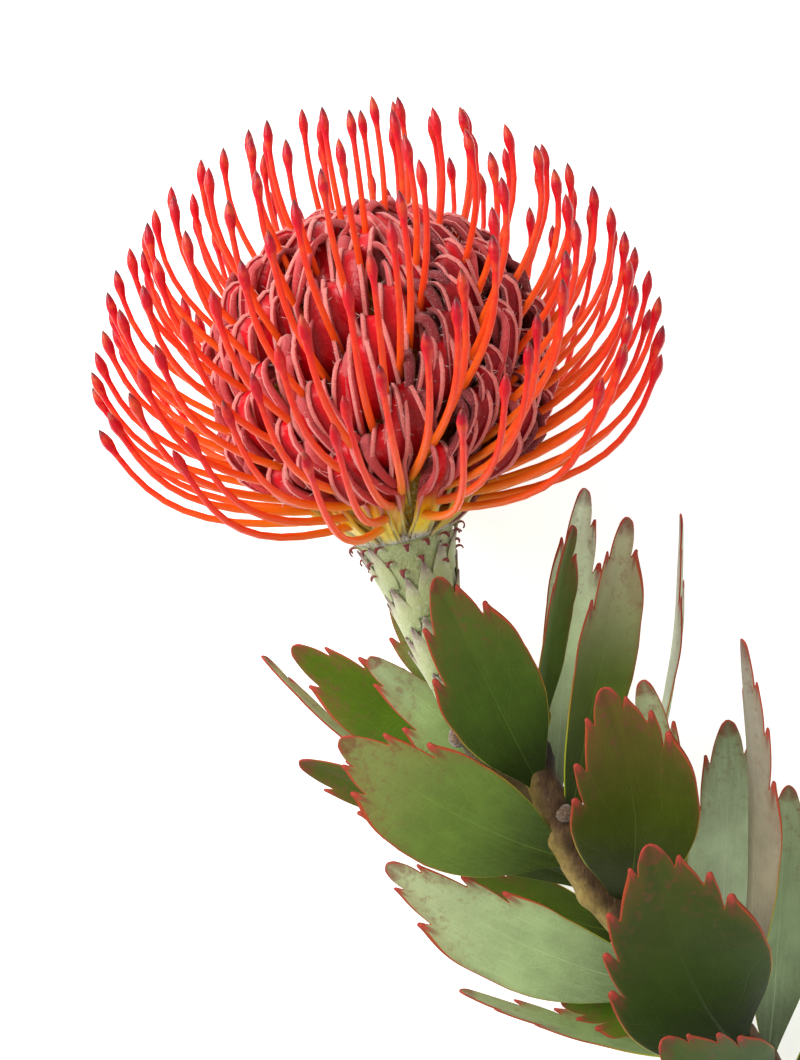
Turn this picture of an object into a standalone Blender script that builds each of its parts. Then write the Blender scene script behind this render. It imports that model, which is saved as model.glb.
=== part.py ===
"""A pincushion protea, one cut flower with its leafy stem, lying on a table.

The head leans up from the table on its stalk, the woody stem slopes down to its cut end,
and the toothed leaves stand round the stem. X runs across, Y along the flower towards
the head, Z up. All sizes below are in millimetres and become metres through MM.
"""

import math
import random

import bmesh
import bpy
from mathutils import Matrix, Vector

MM = 0.001
GOLDEN_ANGLE = math.radians(137.508)
CLEARANCE = 0.3
FLOOR = 0.0

# The bloom lies about the origin once it is moved by this much.
CENTRE_SHIFT = (-30.5, 33.0)

# Head: foot on the stalk, direction of its axis, and the globe of style tips round it.
HEAD_FOOT = (0.9, -0.8, 43.2)
HEAD_AXIS = (-0.143, 0.955, 0.259)
TIP_GLOBE_RADIUS = 58.0
TIP_GLOBE_HEIGHT = 30.0
LOWEST_TIP_ANGLE = 91.0
FLORETS = 84
RECEPTACLE_RADIUS = 11.0
RECEPTACLE_HALF_HEIGHT = 14.0
RECEPTACLE_HEIGHT = 16.0
LOWEST_ROOT_ANGLE = 150.0

# Style: a long wire-like stalk that ends in a spear-shaped pollen presenter.
STYLE_SIDES = 3
STYLE_WIDTH_AT_ROOT = 2.0
STYLE_WIDTH_AT_NECK = 1.25
PRESENTER_WIDTH = 2.6
PRESENTER_LENGTH = 5.0
# The presenter is widest this far along it.
PRESENTER_SHOULDER = 0.45
# A three-sided bar of this much more reach has the section of the round one.
THREE_SIDED_REACH = 1.28
# Where a style is read along its length, and how strongly its two ends hold their direction.
STYLE_STATIONS = (0.0, 0.3, 0.52, 0.72, 0.86, 1.0)
ROOT_PULL = 0.66
TIP_PULL = 0.3
# How far a tip leans out from the head's axis, by its angle from that axis (degrees).
TIP_LEAN = ((0.0, 0.0), (14.0, -6.0), (32.0, -10.0), (55.0, 0.0), (73.0, 12.0), (91.0, 24.0))
# The most that a tip is turned round the head from its root (degrees).
MOST_SWAY = 3.0
SWAY_SEED = 7
# Over this height a style bends from its free run to its rest on the table.
REST_EASE = 1.2

# Perianth: each floret's petal tube, split, climbing the globe and rolled in at its end.
GLOBE_RADIUS = 34.0
GLOBE_HEIGHT = 33.0
LOWEST_CURL_ANGLE = 134.0
CURL_WIDTH = 9.0
CURL_THICKNESS = 1.8
# Its middle line, as how far out of the globe and how far up it.
CURL_ROUTE = ((-9.0, 0.0), (-0.8, 0.8), (-0.4, 5.4), (-4.0, 7.8))
CORE_RADIUS = 28.5
CORE_SIDES = 14
CORE_STEPS = 7
CORE_LOWEST_ANGLE = 140.0
SEAT_RADIUS = 9.5
SEAT_CLEAR_RADIUS = 13.5
CUTTER_DEPTH = 30.0
CUTTER_SIDES = 24

# Stalk of the head, from the head down to the fork: x, y, z and radius.
STALK = (
    (1.1, -0.2, 43.3, 10.4),
    (2.3, -4.8, 42.3, 8.9),
    (3.8, -9.6, 41.2, 7.8),
    (5.6, -15.5, 40.0, 6.7),
    (8.0, -24.5, 38.4, 4.9),
    (10.2, -31.2, 37.2, 3.7),
    (12.6, -38.6, 35.9, 2.9),
    (16.0, -45.5, 34.6, 2.7),
    (21.0, -52.0, 32.6, 2.8),
    (30.0, -59.0, 30.6, 3.0),
)
# Woody stem, from its dead top down to the cut end: x, y, z and radius.
WOOD = (
    (30.2, -44.6, 32.4, 1.5),
    (29.6, -48.0, 32.0, 3.0),
    (29.4, -52.0, 31.6, 3.7),
    (31.0, -57.2, 31.0, 4.1),
    (34.0, -63.8, 29.4, 4.1),
    (39.4, -72.5, 26.2, 4.2),
    (45.8, -81.5, 22.6, 4.2),
    (55.7, -92.9, 18.6, 4.3),
    (67.3, -104.7, 15.0, 4.4),
    (79.0, -117.9, 11.2, 4.4),
    (89.7, -131.2, 7.6, 4.5),
    (98.5, -143.5, 4.6, 4.6),
)
STEM_SIDES = 9
STEM_STEPS = 2
MEASURING_STEPS = 6

# Scale-like bracts that lie along the stalk, and the ring of curled ones under the head.
STALK_SCALES = 22
SCALE_LENGTH = 7.0
SCALE_WIDTH = 3.6
SCALE_FOOT_WIDTH = 2.2
SCALE_WAIST = 0.55
SCALE_THICKNESS = 1.2
SCALE_SINK = 1.6
SCALE_RISE = 2.2
FIRST_SCALE = 3.5
SCALED_LENGTH = 27.0
RING_DEPTH = 2.2
RING_LENGTH = 4.2
RING_BRACTS = 12
BUDS = ((12.2, -42.6, 38.6, 2.4), (34.6, -59.4, 34.0, 1.9))

# Leaf blade, common to all leaves. A tooth climbs from the notch behind it and drops at once.
BLADE_THICKNESS = 0.8
TOOTH_DEPTH = 0.8
TOOTH_DEPTH_OF_WIDTH = 0.05
TOOTH_DROP = 0.018
FIRST_TOOTH_LENGTH = 0.14
LEAST_ROW_STEP = 0.006
PLAIN_ROWS = (0.0, 0.12, 0.28, 0.42)
# How wide the blade is along its length, as (place from foot to tip, share of full width).
BLADE_OUTLINE = (
    (0.0, 0.13), (0.08, 0.16), (0.2, 0.42), (0.34, 0.76), (0.46, 0.95), (0.55, 0.98),
    (0.65, 0.92), (0.75, 0.76), (0.84, 0.57), (0.91, 0.4), (0.95, 0.28), (0.975, 0.22),
    (1.0, 0.12),
)

# Leaves: name, foot (mm down the woody stem), tip (x, y, z), full width, places of the left
# and of the right teeth along the blade, roll at the foot and at the tip (degrees, 0 faces
# up), rise and sway of the midrib, cup.
LEAVES = (
    ("leaf_01", 0.5, (29.0, -34.0, 29.0), 6.5, (0.85,), (0.74,),
     -30.0, -30.0, 0.0, 0.0, 1.0),
    ("leaf_02", 5.5, (35.8, 1.0, 42.0), 10.0, (0.79,), (0.9,),
     60.0, 50.0, 1.0, 2.0, 1.5),
    ("leaf_03", 9.5, (25.0, -33.0, 10.0), 14.0, (0.8,), (0.74, 0.9),
     -20.0, -20.0, -1.0, 0.0, 1.5),
    ("leaf_04", 9.0, (0.5, -14.2, 20.0), 19.0, (0.76, 0.88), (0.7, 0.82),
     -45.0, -40.0, -3.0, -1.0, 1.5),
    ("leaf_05", 13.0, (7.0, -9.4, 57.0), 21.5, (0.65, 0.83), (0.8, 0.92),
     10.0, 5.0, 4.0, -0.5, 2.0),
    ("leaf_06", 16.0, (-6.8, -27.2, 30.0), 16.0, (0.8,), (0.72, 0.92),
     -155.0, -150.0, 2.0, 0.0, 1.5),
    ("leaf_07", 20.0, (39.7, 9.1, 25.0), 15.0, (0.86,), (0.8, 0.92),
     45.0, 45.0, -2.0, 0.5, 1.5),
    ("leaf_08", 22.0, (-23.6, -25.4, 21.0), 19.0, (0.9,), (0.77, 0.88),
     -15.0, -20.0, -1.0, 0.0, 1.5),
    ("leaf_09", 26.0, (46.4, 2.7, 46.0), 15.0, (0.74, 0.88), (0.91,),
     30.0, 30.0, 2.0, 0.0, 2.0),
    ("leaf_10", 26.0, (-30.5, -27.6, 12.5), 10.0, (0.73, 0.86), (0.79, 0.92),
     75.0, 75.0, -2.0, -7.0, 1.0),
    ("leaf_11", 33.0, (-12.4, -42.8, 44.0), 23.0, (0.82, 0.92), (0.75, 0.88),
     -15.0, -10.0, 4.0, 0.0, 2.0),
    ("leaf_12", 50.0, (39.6, -30.8, 62.0), 26.0, (0.62, 0.76, 0.92), (0.84, 0.94),
     0.0, 0.0, 5.0, 4.3, 2.5),
    ("leaf_13", 41.0, (61.9, 3.7, 16.0), 15.0, (0.8, 0.92), (0.85,),
     80.0, 80.0, 0.0, 5.5, 1.5),
    ("leaf_14", 43.0, (-22.8, -52.0, 7.0), 18.0, (0.8, 0.91), (0.76, 0.88),
     -30.0, -30.0, -4.5, 0.0, 1.5),
    ("leaf_15", 60.0, (50.0, -31.0, 42.0), 16.0, (0.8, 0.91), (0.74, 0.87),
     -25.0, -25.0, 1.0, 4.0, 1.5),
    ("leaf_16", 59.0, (15.3, -78.0, 4.0), 16.0, (0.8, 0.91), (0.86,),
     -15.0, -15.0, -2.0, -2.0, 1.5),
    ("leaf_17", 80.0, (-3.0, -71.0, 30.0), 23.0, (0.81, 0.93), (0.65, 0.78, 0.9),
     -15.0, -15.0, 3.0, -4.0, 2.0),
    ("leaf_18", 86.0, (35.3, -103.6, 15.0), 15.0, (0.78, 0.9), (0.84,),
     -10.0, -10.0, 0.0, 0.0, 1.5),
    ("leaf_19", 89.0, (72.6, -42.0, 14.0), 20.0, (0.64, 0.75, 0.87), (0.8, 0.91),
     12.0, 12.0, -3.0, 1.5, 1.5),
    ("leaf_20", 97.0, (70.8, -22.3, 41.0), 16.0, (0.72, 0.83, 0.92), (0.78, 0.89),
     104.0, 100.0, 4.0, 3.0, 2.0),
    ("leaf_21", 103.0, (46.5, -61.9, 62.0), 31.0, (0.71, 0.83, 0.93), (0.79, 0.9),
     0.0, 0.0, 5.0, -4.5, 2.5),
    ("leaf_22", 106.0, (13.3, -103.4, 7.0), 12.0, (0.76, 0.89), (0.7, 0.83),
     75.0, 75.0, -1.0, -3.0, 1.0),
    ("leaf_23", 111.0, (88.5, -58.0, 2.5), 19.0, (0.68, 0.8, 0.91), (0.76, 0.88),
     12.0, 12.0, -3.5, 1.0, 1.5),
    ("leaf_24", 116.0, (53.0, -102.8, 50.0), 26.0, (0.78, 0.91), (0.72, 0.83, 0.93),
     0.0, 0.0, 4.0, -3.0, 2.0),
    ("leaf_25", 118.0, (119.0, -94.0, 6.0), 20.0, (0.66, 0.79, 0.9), (0.72, 0.86),
     20.0, 20.0, -1.0, 0.0, 1.5),
    ("leaf_26", 120.0, (50.0, -141.0, 5.0), 20.0, (0.7, 0.84), (0.64, 0.77, 0.9),
     -20.0, -20.0, -1.0, 0.0, 1.5),
)


def vector_mm(values):
    return Vector(values[:3])


def head_frame():
    """The head's own axes in the world: two across it and one along it."""
    along = Vector(HEAD_AXIS).normalized()
    across = along.cross(Vector((0.0, 0.0, 1.0))).normalized()
    return across, along.cross(across), along


def head_point(radius, height, turn):
    """A place in the head: distance from its axis, height over its foot, turn round it."""
    across, up, along = head_frame()
    outward = across * math.cos(turn) + up * math.sin(turn)
    return vector_mm(HEAD_FOOT) + outward * radius + along * height


def head_direction(polar, turn):
    """The direction at this angle from the head's axis, turned this far round it."""
    return head_point(math.sin(polar), math.cos(polar), turn) - vector_mm(HEAD_FOOT)


def key_value(keys, place):
    """The value at a place, read straight between the keys on its two sides."""
    for (low, at_low), (high, at_high) in zip(keys, keys[1:]):
        if place <= high:
            return at_low + (at_high - at_low) * (place - low) / (high - low)
    return keys[-1][1]


def bezier(points, share):
    """A point of the Bezier curve through these control points."""
    points = list(points)
    while len(points) > 1:
        points = [a.lerp(b, share) for a, b in zip(points, points[1:])]
    return points[0]


def smooth_path(points, steps):
    """Points of a smooth curve through the given ones, with some steps to each stretch."""
    padded = [points[0], *points, points[-1]]
    path = []
    for a, b, c, d in zip(padded, padded[1:], padded[2:], padded[3:]):
        for step in range(steps):
            t = step / steps
            path.append(tuple(
                0.5 * (2 * q + (r - p) * t + (2 * p - 5 * q + 4 * r - s) * t ** 2
                       + (3 * q - p - 3 * r + s) * t ** 3)
                for p, q, r, s in zip(a, b, c, d)))
    path.append(tuple(points[-1]))
    return path


def rest_on_floor(height, lowest):
    """Lifts what would pass through the table, with a smooth run-out along it."""
    over = height - lowest
    if over >= REST_EASE:
        return height
    if over <= -REST_EASE:
        return lowest
    return lowest + (over + REST_EASE) ** 2 / (4 * REST_EASE)


def new_object(name, mesh, material=None):
    thing = bpy.data.objects.new(name, mesh)
    bpy.context.scene.collection.objects.link(thing)
    if material:
        mesh.materials.append(material)
    return thing


def mesh_of(name, shape):
    """A mesh in metres from a bmesh in millimetres, moved over the origin and on the table."""
    shift = Vector((CENTRE_SHIFT[0], CENTRE_SHIFT[1], 0.0))
    for corner in shape.verts:
        corner.co.z = max(corner.co.z, FLOOR)
        corner.co = (corner.co + shift) * MM
    bmesh.ops.recalc_face_normals(shape, faces=shape.faces)
    mesh = bpy.data.meshes.new(name)
    shape.to_mesh(mesh)
    shape.free()
    return mesh


def ring_frames(path):
    """Two directions across the path at each point, carried along without a twist."""
    frames = []
    side = None
    for i, point in enumerate(path):
        ahead = path[min(i + 1, len(path) - 1)] - path[max(i - 1, 0)]
        ahead.normalize()
        if side is None:
            side = ahead.orthogonal().normalized()
        side = (side - ahead * side.dot(ahead)).normalized()
        frames.append((side.copy(), ahead.cross(side)))
    return frames


def tube(path, radii, sides, pointed=False):
    """A closed round bar along a path; its last point is a spike where it is pointed."""
    shape = bmesh.new()
    rings = []
    frames = ring_frames(path)
    last = len(path) - 1
    for i, (centre, radius, (side, other)) in enumerate(zip(path, radii, frames)):
        if pointed and i == last:
            rings.append([shape.verts.new(centre)])
            continue
        turns = [2 * math.pi * k / sides for k in range(sides)]
        rings.append([
            shape.verts.new(centre + (side * math.cos(t) + other * math.sin(t)) * radius)
            for t in turns])
    for low, high in zip(rings, rings[1:]):
        for k in range(sides):
            n = (k + 1) % sides
            if len(high) == 1:
                shape.faces.new((low[k], low[n], high[0]))
            else:
                shape.faces.new((low[k], low[n], high[n], high[k]))
    shape.faces.new(rings[0])
    if not pointed:
        shape.faces.new(rings[-1])
    return shape


def fuse(base, pieces):
    """Joins the pieces to the base with one Boolean union and removes them."""
    group = bpy.data.collections.new(base.name + "_pieces")
    bpy.context.scene.collection.children.link(group)
    for piece in pieces:
        bpy.context.scene.collection.objects.unlink(piece)
        group.objects.link(piece)
    union = base.modifiers.new("Union", "BOOLEAN")
    union.operation = "UNION"
    union.operand_type = "COLLECTION"
    union.collection = group
    union.solver = "MANIFOLD"
    apply_modifiers(base)
    for piece in pieces:
        bpy.data.objects.remove(piece, do_unlink=True)
    bpy.data.collections.remove(group)


def cut_with(base, cutter, keep=False):
    """Cuts the cutter's shape out of the base; the cutter goes unless it is kept."""
    cut = base.modifiers.new("Cut", "BOOLEAN")
    cut.operation = "DIFFERENCE"
    cut.object = cutter
    cut.solver = "MANIFOLD"
    apply_modifiers(base)
    if not keep:
        bpy.data.objects.remove(cutter, do_unlink=True)


def apply_modifiers(thing):
    """Turns what the modifiers make of the object into its own mesh."""
    graph = bpy.context.evaluated_depsgraph_get()
    made = bpy.data.meshes.new_from_object(thing.evaluated_get(graph))
    old = thing.data
    thing.modifiers.clear()
    thing.data = made
    bpy.data.meshes.remove(old)


def keep_largest_body(thing):
    """Drops loose scraps that a cut leaves beside the main body."""
    shape = bmesh.new()
    shape.from_mesh(thing.data)
    left = set(shape.verts)
    bodies = []
    while left:
        body = {left.pop()}
        front = list(body)
        while front:
            for edge in front.pop().link_edges:
                for corner in edge.verts:
                    if corner in left:
                        left.discard(corner)
                        body.add(corner)
                        front.append(corner)
        bodies.append(body)
    bodies.sort(key=len)
    for body in bodies[:-1]:
        bmesh.ops.delete(shape, geom=list(body), context="VERTS")
    shape.to_mesh(thing.data)
    shape.free()


# Styles.

def even_angle(share, lowest):
    """The angle from the head's axis that parts off this share of the dome's surface."""
    return math.acos(1.0 - (1.0 - math.cos(math.radians(lowest))) * share)


def style_path(share, turn, sway):
    """The middle line of one style, from its root in the receptacle to its tip."""
    root_angle = even_angle(share, LOWEST_ROOT_ANGLE)
    root = head_point(
        RECEPTACLE_RADIUS * math.sin(root_angle),
        RECEPTACLE_HEIGHT + RECEPTACLE_HALF_HEIGHT * math.cos(root_angle), turn)
    tip_angle = even_angle(share, LOWEST_TIP_ANGLE)
    tip = head_point(
        TIP_GLOBE_RADIUS * math.sin(tip_angle),
        TIP_GLOBE_HEIGHT + TIP_GLOBE_RADIUS * math.cos(tip_angle), turn + sway)
    lean = math.radians(key_value(TIP_LEAN, math.degrees(tip_angle)))
    leaving = head_direction(tip_angle, turn)
    arriving = head_direction(lean, turn + sway)
    chord = (tip - root).length
    controls = (
        root, root + leaving * chord * ROOT_PULL, tip - arriving * chord * TIP_PULL, tip)
    path = [bezier(controls, s) for s in STYLE_STATIONS]
    before_tip = path[-1] - (path[-1] - path[-2]).normalized() * PRESENTER_LENGTH
    end = path.pop()
    path += [before_tip, before_tip.lerp(end, PRESENTER_SHOULDER), end]
    for point in path:
        point.z = rest_on_floor(point.z, STYLE_WIDTH_AT_NECK / 2)
    return path


def style_radii():
    count = len(STYLE_STATIONS) - 1
    root = STYLE_WIDTH_AT_ROOT / 2
    neck = STYLE_WIDTH_AT_NECK / 2
    bar = [root + (neck - root) * s for s in STYLE_STATIONS[:count]]
    radii = [*bar, neck, PRESENTER_WIDTH / 2, 0.0]
    return [radius * THREE_SIDED_REACH for radius in radii]


def add_style(index, share, turn, draw):
    sway = math.radians(draw.uniform(-MOST_SWAY, MOST_SWAY))
    path = style_path(share, turn, sway)
    shape = tube(path, style_radii(), STYLE_SIDES, pointed=True)
    return new_object(f"style_{index}", mesh_of("style", shape))


# Perianth curls.

def add_curl(index, share, turn):
    """One split petal tube: out of the globe, up towards its top, and back in."""
    polar = even_angle(share, LOWEST_CURL_ANGLE)
    outward = head_direction(polar, turn)
    upward = head_direction(polar - math.pi / 2, turn)
    across = outward.cross(upward)
    place = head_point(0.0, GLOBE_HEIGHT, 0.0) + outward * GLOBE_RADIUS
    route = [place + outward * out + upward * along for out, along in CURL_ROUTE]
    shape = bmesh.new()
    rings = []
    for i, middle in enumerate(route):
        ahead = (route[min(i + 1, len(route) - 1)] - route[max(i - 1, 0)]).normalized()
        half = across * CURL_WIDTH / 2
        depth = ahead.cross(across) * CURL_THICKNESS
        rings.append([shape.verts.new(middle + offset) for offset in (
            half, -half, -half - depth, half - depth)])
    for low, high in zip(rings, rings[1:]):
        for k in range(4):
            n = (k + 1) % 4
            shape.faces.new((low[k], low[n], high[n], high[k]))
    shape.faces.new(rings[0])
    shape.faces.new(rings[-1])
    bmesh.ops.triangulate(shape, faces=shape.faces)
    return new_object(f"curl_{index}", mesh_of("curl", shape))


# Core of the head.

def add_core(material):
    """The crowded petal tubes inside the globe, down to the flat seat on the stalk."""
    profile = [(0.0, CLEARANCE), (SEAT_RADIUS, CLEARANCE)]
    for i in range(CORE_STEPS):
        polar = math.radians(CORE_LOWEST_ANGLE * (CORE_STEPS - i) / CORE_STEPS)
        profile.append(
            (CORE_RADIUS * math.sin(polar), GLOBE_HEIGHT + CORE_RADIUS * math.cos(polar)))
    profile.append((0.0, GLOBE_HEIGHT + CORE_RADIUS))
    shape = bmesh.new()
    rings = []
    for radius, height in profile:
        count = CORE_SIDES if radius > 0.0 else 1
        rings.append([
            shape.verts.new(head_point(radius, height, 2 * math.pi * k / count))
            for k in range(count)])
    for low, high in zip(rings, rings[1:]):
        for k in range(CORE_SIDES):
            n = (k + 1) % CORE_SIDES
            corners = [low[k % len(low)], low[n % len(low)], high[n % len(high)],
                       high[k % len(high)]]
            shape.faces.new(list(dict.fromkeys(corners)))
    return new_object("flower_head", mesh_of("flower_head", shape), material)


def add_flower_head():
    material = plain_material("head_red", (0.78, 0.10, 0.05), 0.45)
    head = add_core(material)
    draw = random.Random(SWAY_SEED)
    pieces = []
    for index in range(FLORETS):
        share = (index + 0.5) / FLORETS
        turn = index * GOLDEN_ANGLE
        pieces.append(add_style(index, share, turn, draw))
        pieces.append(add_curl(index, share, turn))
    fuse(head, pieces)
    seat = tube(
        [head_point(0.0, -CUTTER_DEPTH, 0.0), head_point(0.0, CLEARANCE, 0.0)],
        [SEAT_CLEAR_RADIUS] * 2, CUTTER_SIDES)
    cut_with(head, new_object("seat_cutter", mesh_of("seat_cutter", seat)))
    keep_largest_body(head)
    return head


# Stem.

def stem_tube(name, points, spread=0.0):
    path = smooth_path(points, STEM_STEPS)
    shape = tube([vector_mm(p) for p in path], [p[3] + spread for p in path], STEM_SIDES)
    return new_object(name, mesh_of(name, shape))


def path_station(points, distance):
    """The point, direction and radius at a distance along a path of points."""
    path = smooth_path(points, MEASURING_STEPS)
    walked = 0.0
    for low, high in zip(path, path[1:]):
        step = (vector_mm(high) - vector_mm(low)).length
        if walked + step >= distance:
            share = (distance - walked) / step
            middle = vector_mm(low).lerp(vector_mm(high), share)
            ahead = (vector_mm(high) - vector_mm(low)).normalized()
            return middle, ahead, low[3] + (high[3] - low[3]) * share
        walked += step
    return vector_mm(path[-1]), ahead, path[-1][3]


def add_scale(index, distance, turn, length):
    """A pointed bract that lies on the stalk with its tip towards the head."""
    middle, down, radius = path_station(STALK, distance)
    side = down.orthogonal().normalized()
    outward = side * math.cos(turn) + down.cross(side) * math.sin(turn)
    across = outward.cross(down)
    foot = middle + outward * (radius - SCALE_SINK) + down * length / 2
    narrow = across * SCALE_FOOT_WIDTH / 2
    wide = across * SCALE_WIDTH / 2
    waist = foot - down * length * SCALE_WAIST + outward * SCALE_SINK
    point = foot - down * length + outward * SCALE_RISE
    half = outward * SCALE_THICKNESS / 2
    corners = (foot - narrow, foot + narrow, waist + wide, point, waist - wide)
    shape = bmesh.new()
    inner = [shape.verts.new(c - half) for c in corners]
    outer = [shape.verts.new(c + half) for c in corners]
    shape.faces.new(inner)
    shape.faces.new(outer)
    for k in range(5):
        n = (k + 1) % 5
        shape.faces.new((inner[k], inner[n], outer[n], outer[k]))
    return new_object(f"scale_{index}", mesh_of("scale", shape))


def add_bud(index, place, radius):
    shape = bmesh.new()
    bmesh.ops.create_icosphere(
        shape, subdivisions=1, radius=radius, matrix=Matrix.Translation(place))
    return new_object(f"bud_{index}", mesh_of("bud", shape))


def add_stem():
    material = plain_material("stem_bark", (0.30, 0.24, 0.13), 0.7)
    stem = stem_tube("stem", WOOD)
    stem.data.materials.append(material)
    pieces = [stem_tube("stalk", STALK)]
    for index in range(STALK_SCALES):
        distance = FIRST_SCALE + SCALED_LENGTH * index / STALK_SCALES
        pieces.append(add_scale(index, distance, index * GOLDEN_ANGLE, SCALE_LENGTH))
    for index in range(RING_BRACTS):
        turn = 2 * math.pi * index / RING_BRACTS
        pieces.append(add_scale(STALK_SCALES + index, RING_DEPTH, turn, RING_LENGTH))
    for index, (x, y, z, radius) in enumerate(BUDS):
        pieces.append(add_bud(index, Vector((x, y, z)), radius))
    fuse(stem, pieces)
    top = tube(
        [head_point(0.0, 0.0, 0.0), head_point(0.0, CUTTER_DEPTH, 0.0)],
        [CUTTER_DEPTH] * 2, CUTTER_SIDES)
    cut_with(stem, new_object("top_cutter", mesh_of("top_cutter", top)))
    keep_largest_body(stem)
    return stem


# Leaves.

def tooth_keys(teeth, depth):
    """What the teeth of one side add to the blade's reach along it."""
    keys = [(0.0, 0.0), (teeth[0] - FIRST_TOOTH_LENGTH, 0.0)]
    for place in teeth:
        keys += [(place, depth), (place + TOOTH_DROP, 0.0)]
    return [*keys, (1.0, 0.0)]


def blade_rows(sides):
    """Places along the blade where either edge has a corner."""
    places = sorted({*PLAIN_ROWS, *(place for keys in sides for place, reach in keys[1:])})
    rows = [places[0]]
    for place in places[1:]:
        if place - rows[-1] >= LEAST_ROW_STEP:
            rows.append(place)
    return rows


def leaf_spine(foot, tip, rise, sway, share):
    chord = tip - foot
    side = chord.cross(Vector((0.0, 0.0, 1.0))).normalized()
    over = side.cross(chord).normalized()
    bend = foot.lerp(tip, 0.45) + over * 2 * rise + side * 2 * sway
    return bezier((foot, bend, tip), share)


def leaf_blade(foot, tip, width, teeth, rolls, rise, sway, cup):
    """A toothed blade as one closed body, its two faces split into like triangles."""
    depth = TOOTH_DEPTH + TOOTH_DEPTH_OF_WIDTH * width
    sides = [tooth_keys(places, depth) for places in teeth]
    shape = bmesh.new()
    rows = []
    for place in blade_rows(sides):
        middle = leaf_spine(foot, tip, rise, sway, place)
        ahead = (leaf_spine(foot, tip, rise, sway, place + 0.01)
                 - leaf_spine(foot, tip, rise, sway, place - 0.01)).normalized()
        side = ahead.cross(Vector((0.0, 0.0, 1.0))).normalized()
        over = side.cross(ahead)
        roll = math.radians(rolls[0] + (rolls[1] - rolls[0]) * place)
        normal = over * math.cos(roll) + side * math.sin(roll)
        across = side * math.cos(roll) - over * math.sin(roll)
        half = width / 2 * key_value(BLADE_OUTLINE, place)
        left, right = (half + key_value(keys, place) for keys in sides)
        skin = normal * BLADE_THICKNESS / 2
        line = [
            middle + across * reach + normal * cup * (2 * reach / width) ** 2
            for reach in (-left, 0.0, right)]
        rows.append((
            [shape.verts.new(p + skin) for p in line],
            [shape.verts.new(p - skin) for p in line]))
    for (top, under), (next_top, next_under) in zip(rows, rows[1:]):
        for k in range(2):
            if k == 0:
                split = ((0, 1), (1, 1), (0, 0)), ((1, 0), (0, 0), (1, 1))
            else:
                split = ((0, 0), (0, 1), (1, 0)), ((1, 1), (1, 0), (0, 1))
            for three in split:
                shape.faces.new([(next_top if far else top)[k + c] for c, far in three])
                shape.faces.new([(next_under if far else under)[k + c] for c, far in three])
        for k in (0, 2):
            shape.faces.new((top[k], next_top[k], next_under[k], under[k]))
    for top, under in (rows[0], rows[-1]):
        shape.faces.new((top[0], top[1], under[1], under[0]))
        shape.faces.new((top[1], top[2], under[2], under[1]))
    return shape


def add_leaf(row, cutters, material):
    name, distance, tip, width, left, right, foot_roll, tip_roll, rise, sway, cup = row
    foot = path_station(WOOD, distance)[0]
    shape = leaf_blade(
        foot, Vector(tip), width, (left, right), (foot_roll, tip_roll), rise, sway, cup)
    leaf = new_object(name, mesh_of(name, shape), material)
    for cutter in cutters:
        cut_with(leaf, cutter, keep=True)
    keep_largest_body(leaf)
    return leaf


def add_leaves():
    material = plain_material("leaf_green", (0.24, 0.36, 0.12), 0.5)
    cutters = [stem_tube("wood_cutter", WOOD, CLEARANCE),
               stem_tube("stalk_cutter", STALK, CLEARANCE)]
    for row in LEAVES:
        add_leaf(row, cutters, material)
    for cutter in cutters:
        bpy.data.objects.remove(cutter, do_unlink=True)


def plain_material(name, colour, roughness):
    material = bpy.data.materials.new(name)
    material.use_nodes = True
    shader = material.node_tree.nodes["Principled BSDF"]
    shader.inputs["Base Color"].default_value = (*colour, 1.0)
    shader.inputs["Roughness"].default_value = roughness
    return material


def main():
    for thing in list(bpy.data.objects):
        bpy.data.objects.remove(thing, do_unlink=True)
    add_flower_head()
    add_stem()
    add_leaves()


main()
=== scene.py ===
"""The looks of a cut pincushion protea that lies on a table: bark, bracts, leaves and bloom.

Sizes are in millimetres until a piece is set down on the table, which makes them metres.
"""

import math
import random

import bpy
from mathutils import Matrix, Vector, noise


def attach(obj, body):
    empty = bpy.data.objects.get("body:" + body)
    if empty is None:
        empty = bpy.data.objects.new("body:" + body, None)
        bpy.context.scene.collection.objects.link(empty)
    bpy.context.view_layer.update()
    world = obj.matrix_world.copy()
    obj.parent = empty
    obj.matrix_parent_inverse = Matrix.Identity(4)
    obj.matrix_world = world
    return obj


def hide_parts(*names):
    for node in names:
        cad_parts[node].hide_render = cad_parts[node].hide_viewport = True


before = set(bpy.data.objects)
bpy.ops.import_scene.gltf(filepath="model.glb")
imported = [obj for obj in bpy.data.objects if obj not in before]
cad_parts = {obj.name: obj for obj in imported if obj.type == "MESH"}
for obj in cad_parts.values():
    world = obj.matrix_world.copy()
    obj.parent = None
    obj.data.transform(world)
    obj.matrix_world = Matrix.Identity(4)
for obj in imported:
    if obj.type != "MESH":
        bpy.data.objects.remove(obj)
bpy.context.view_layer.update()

bpy.ops.object.select_all(action="DESELECT")


# Woody stem: last year's branch, dead at its top and cut off at its foot. Its thin brown bark
# lies over pale wood, split along the grain, and it swells under each leaf. One side of the
# bark is painted lighter and olive: painted light on its lit side. The stalk of the bloom grew
# out of its side.

MM = 0.001
MOVED = Vector((-30.5, 33.0, 0.0))
WOOD = (
    (30.2, -44.6, 32.4, 1.5), (29.6, -48.0, 32.0, 3.0), (29.4, -52.0, 31.6, 3.7),
    (31.0, -57.2, 31.0, 4.1), (34.0, -63.8, 29.4, 4.1), (39.4, -72.5, 26.2, 4.2),
    (45.8, -81.5, 22.6, 4.2), (55.7, -92.9, 18.6, 4.3), (67.3, -104.7, 15.0, 4.4),
    (79.0, -117.9, 11.2, 4.4), (89.7, -131.2, 7.6, 4.5), (98.5, -143.5, 4.6, 4.6),
)
WOOD_LENGTH = 143.0
LEAF_FEET = (0.5, 5.5, 9.5, 13, 16, 20, 22, 26, 33, 41, 43, 50, 59.5, 80, 86, 89, 97, 103,
             106, 111, 116, 118, 120)


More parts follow.
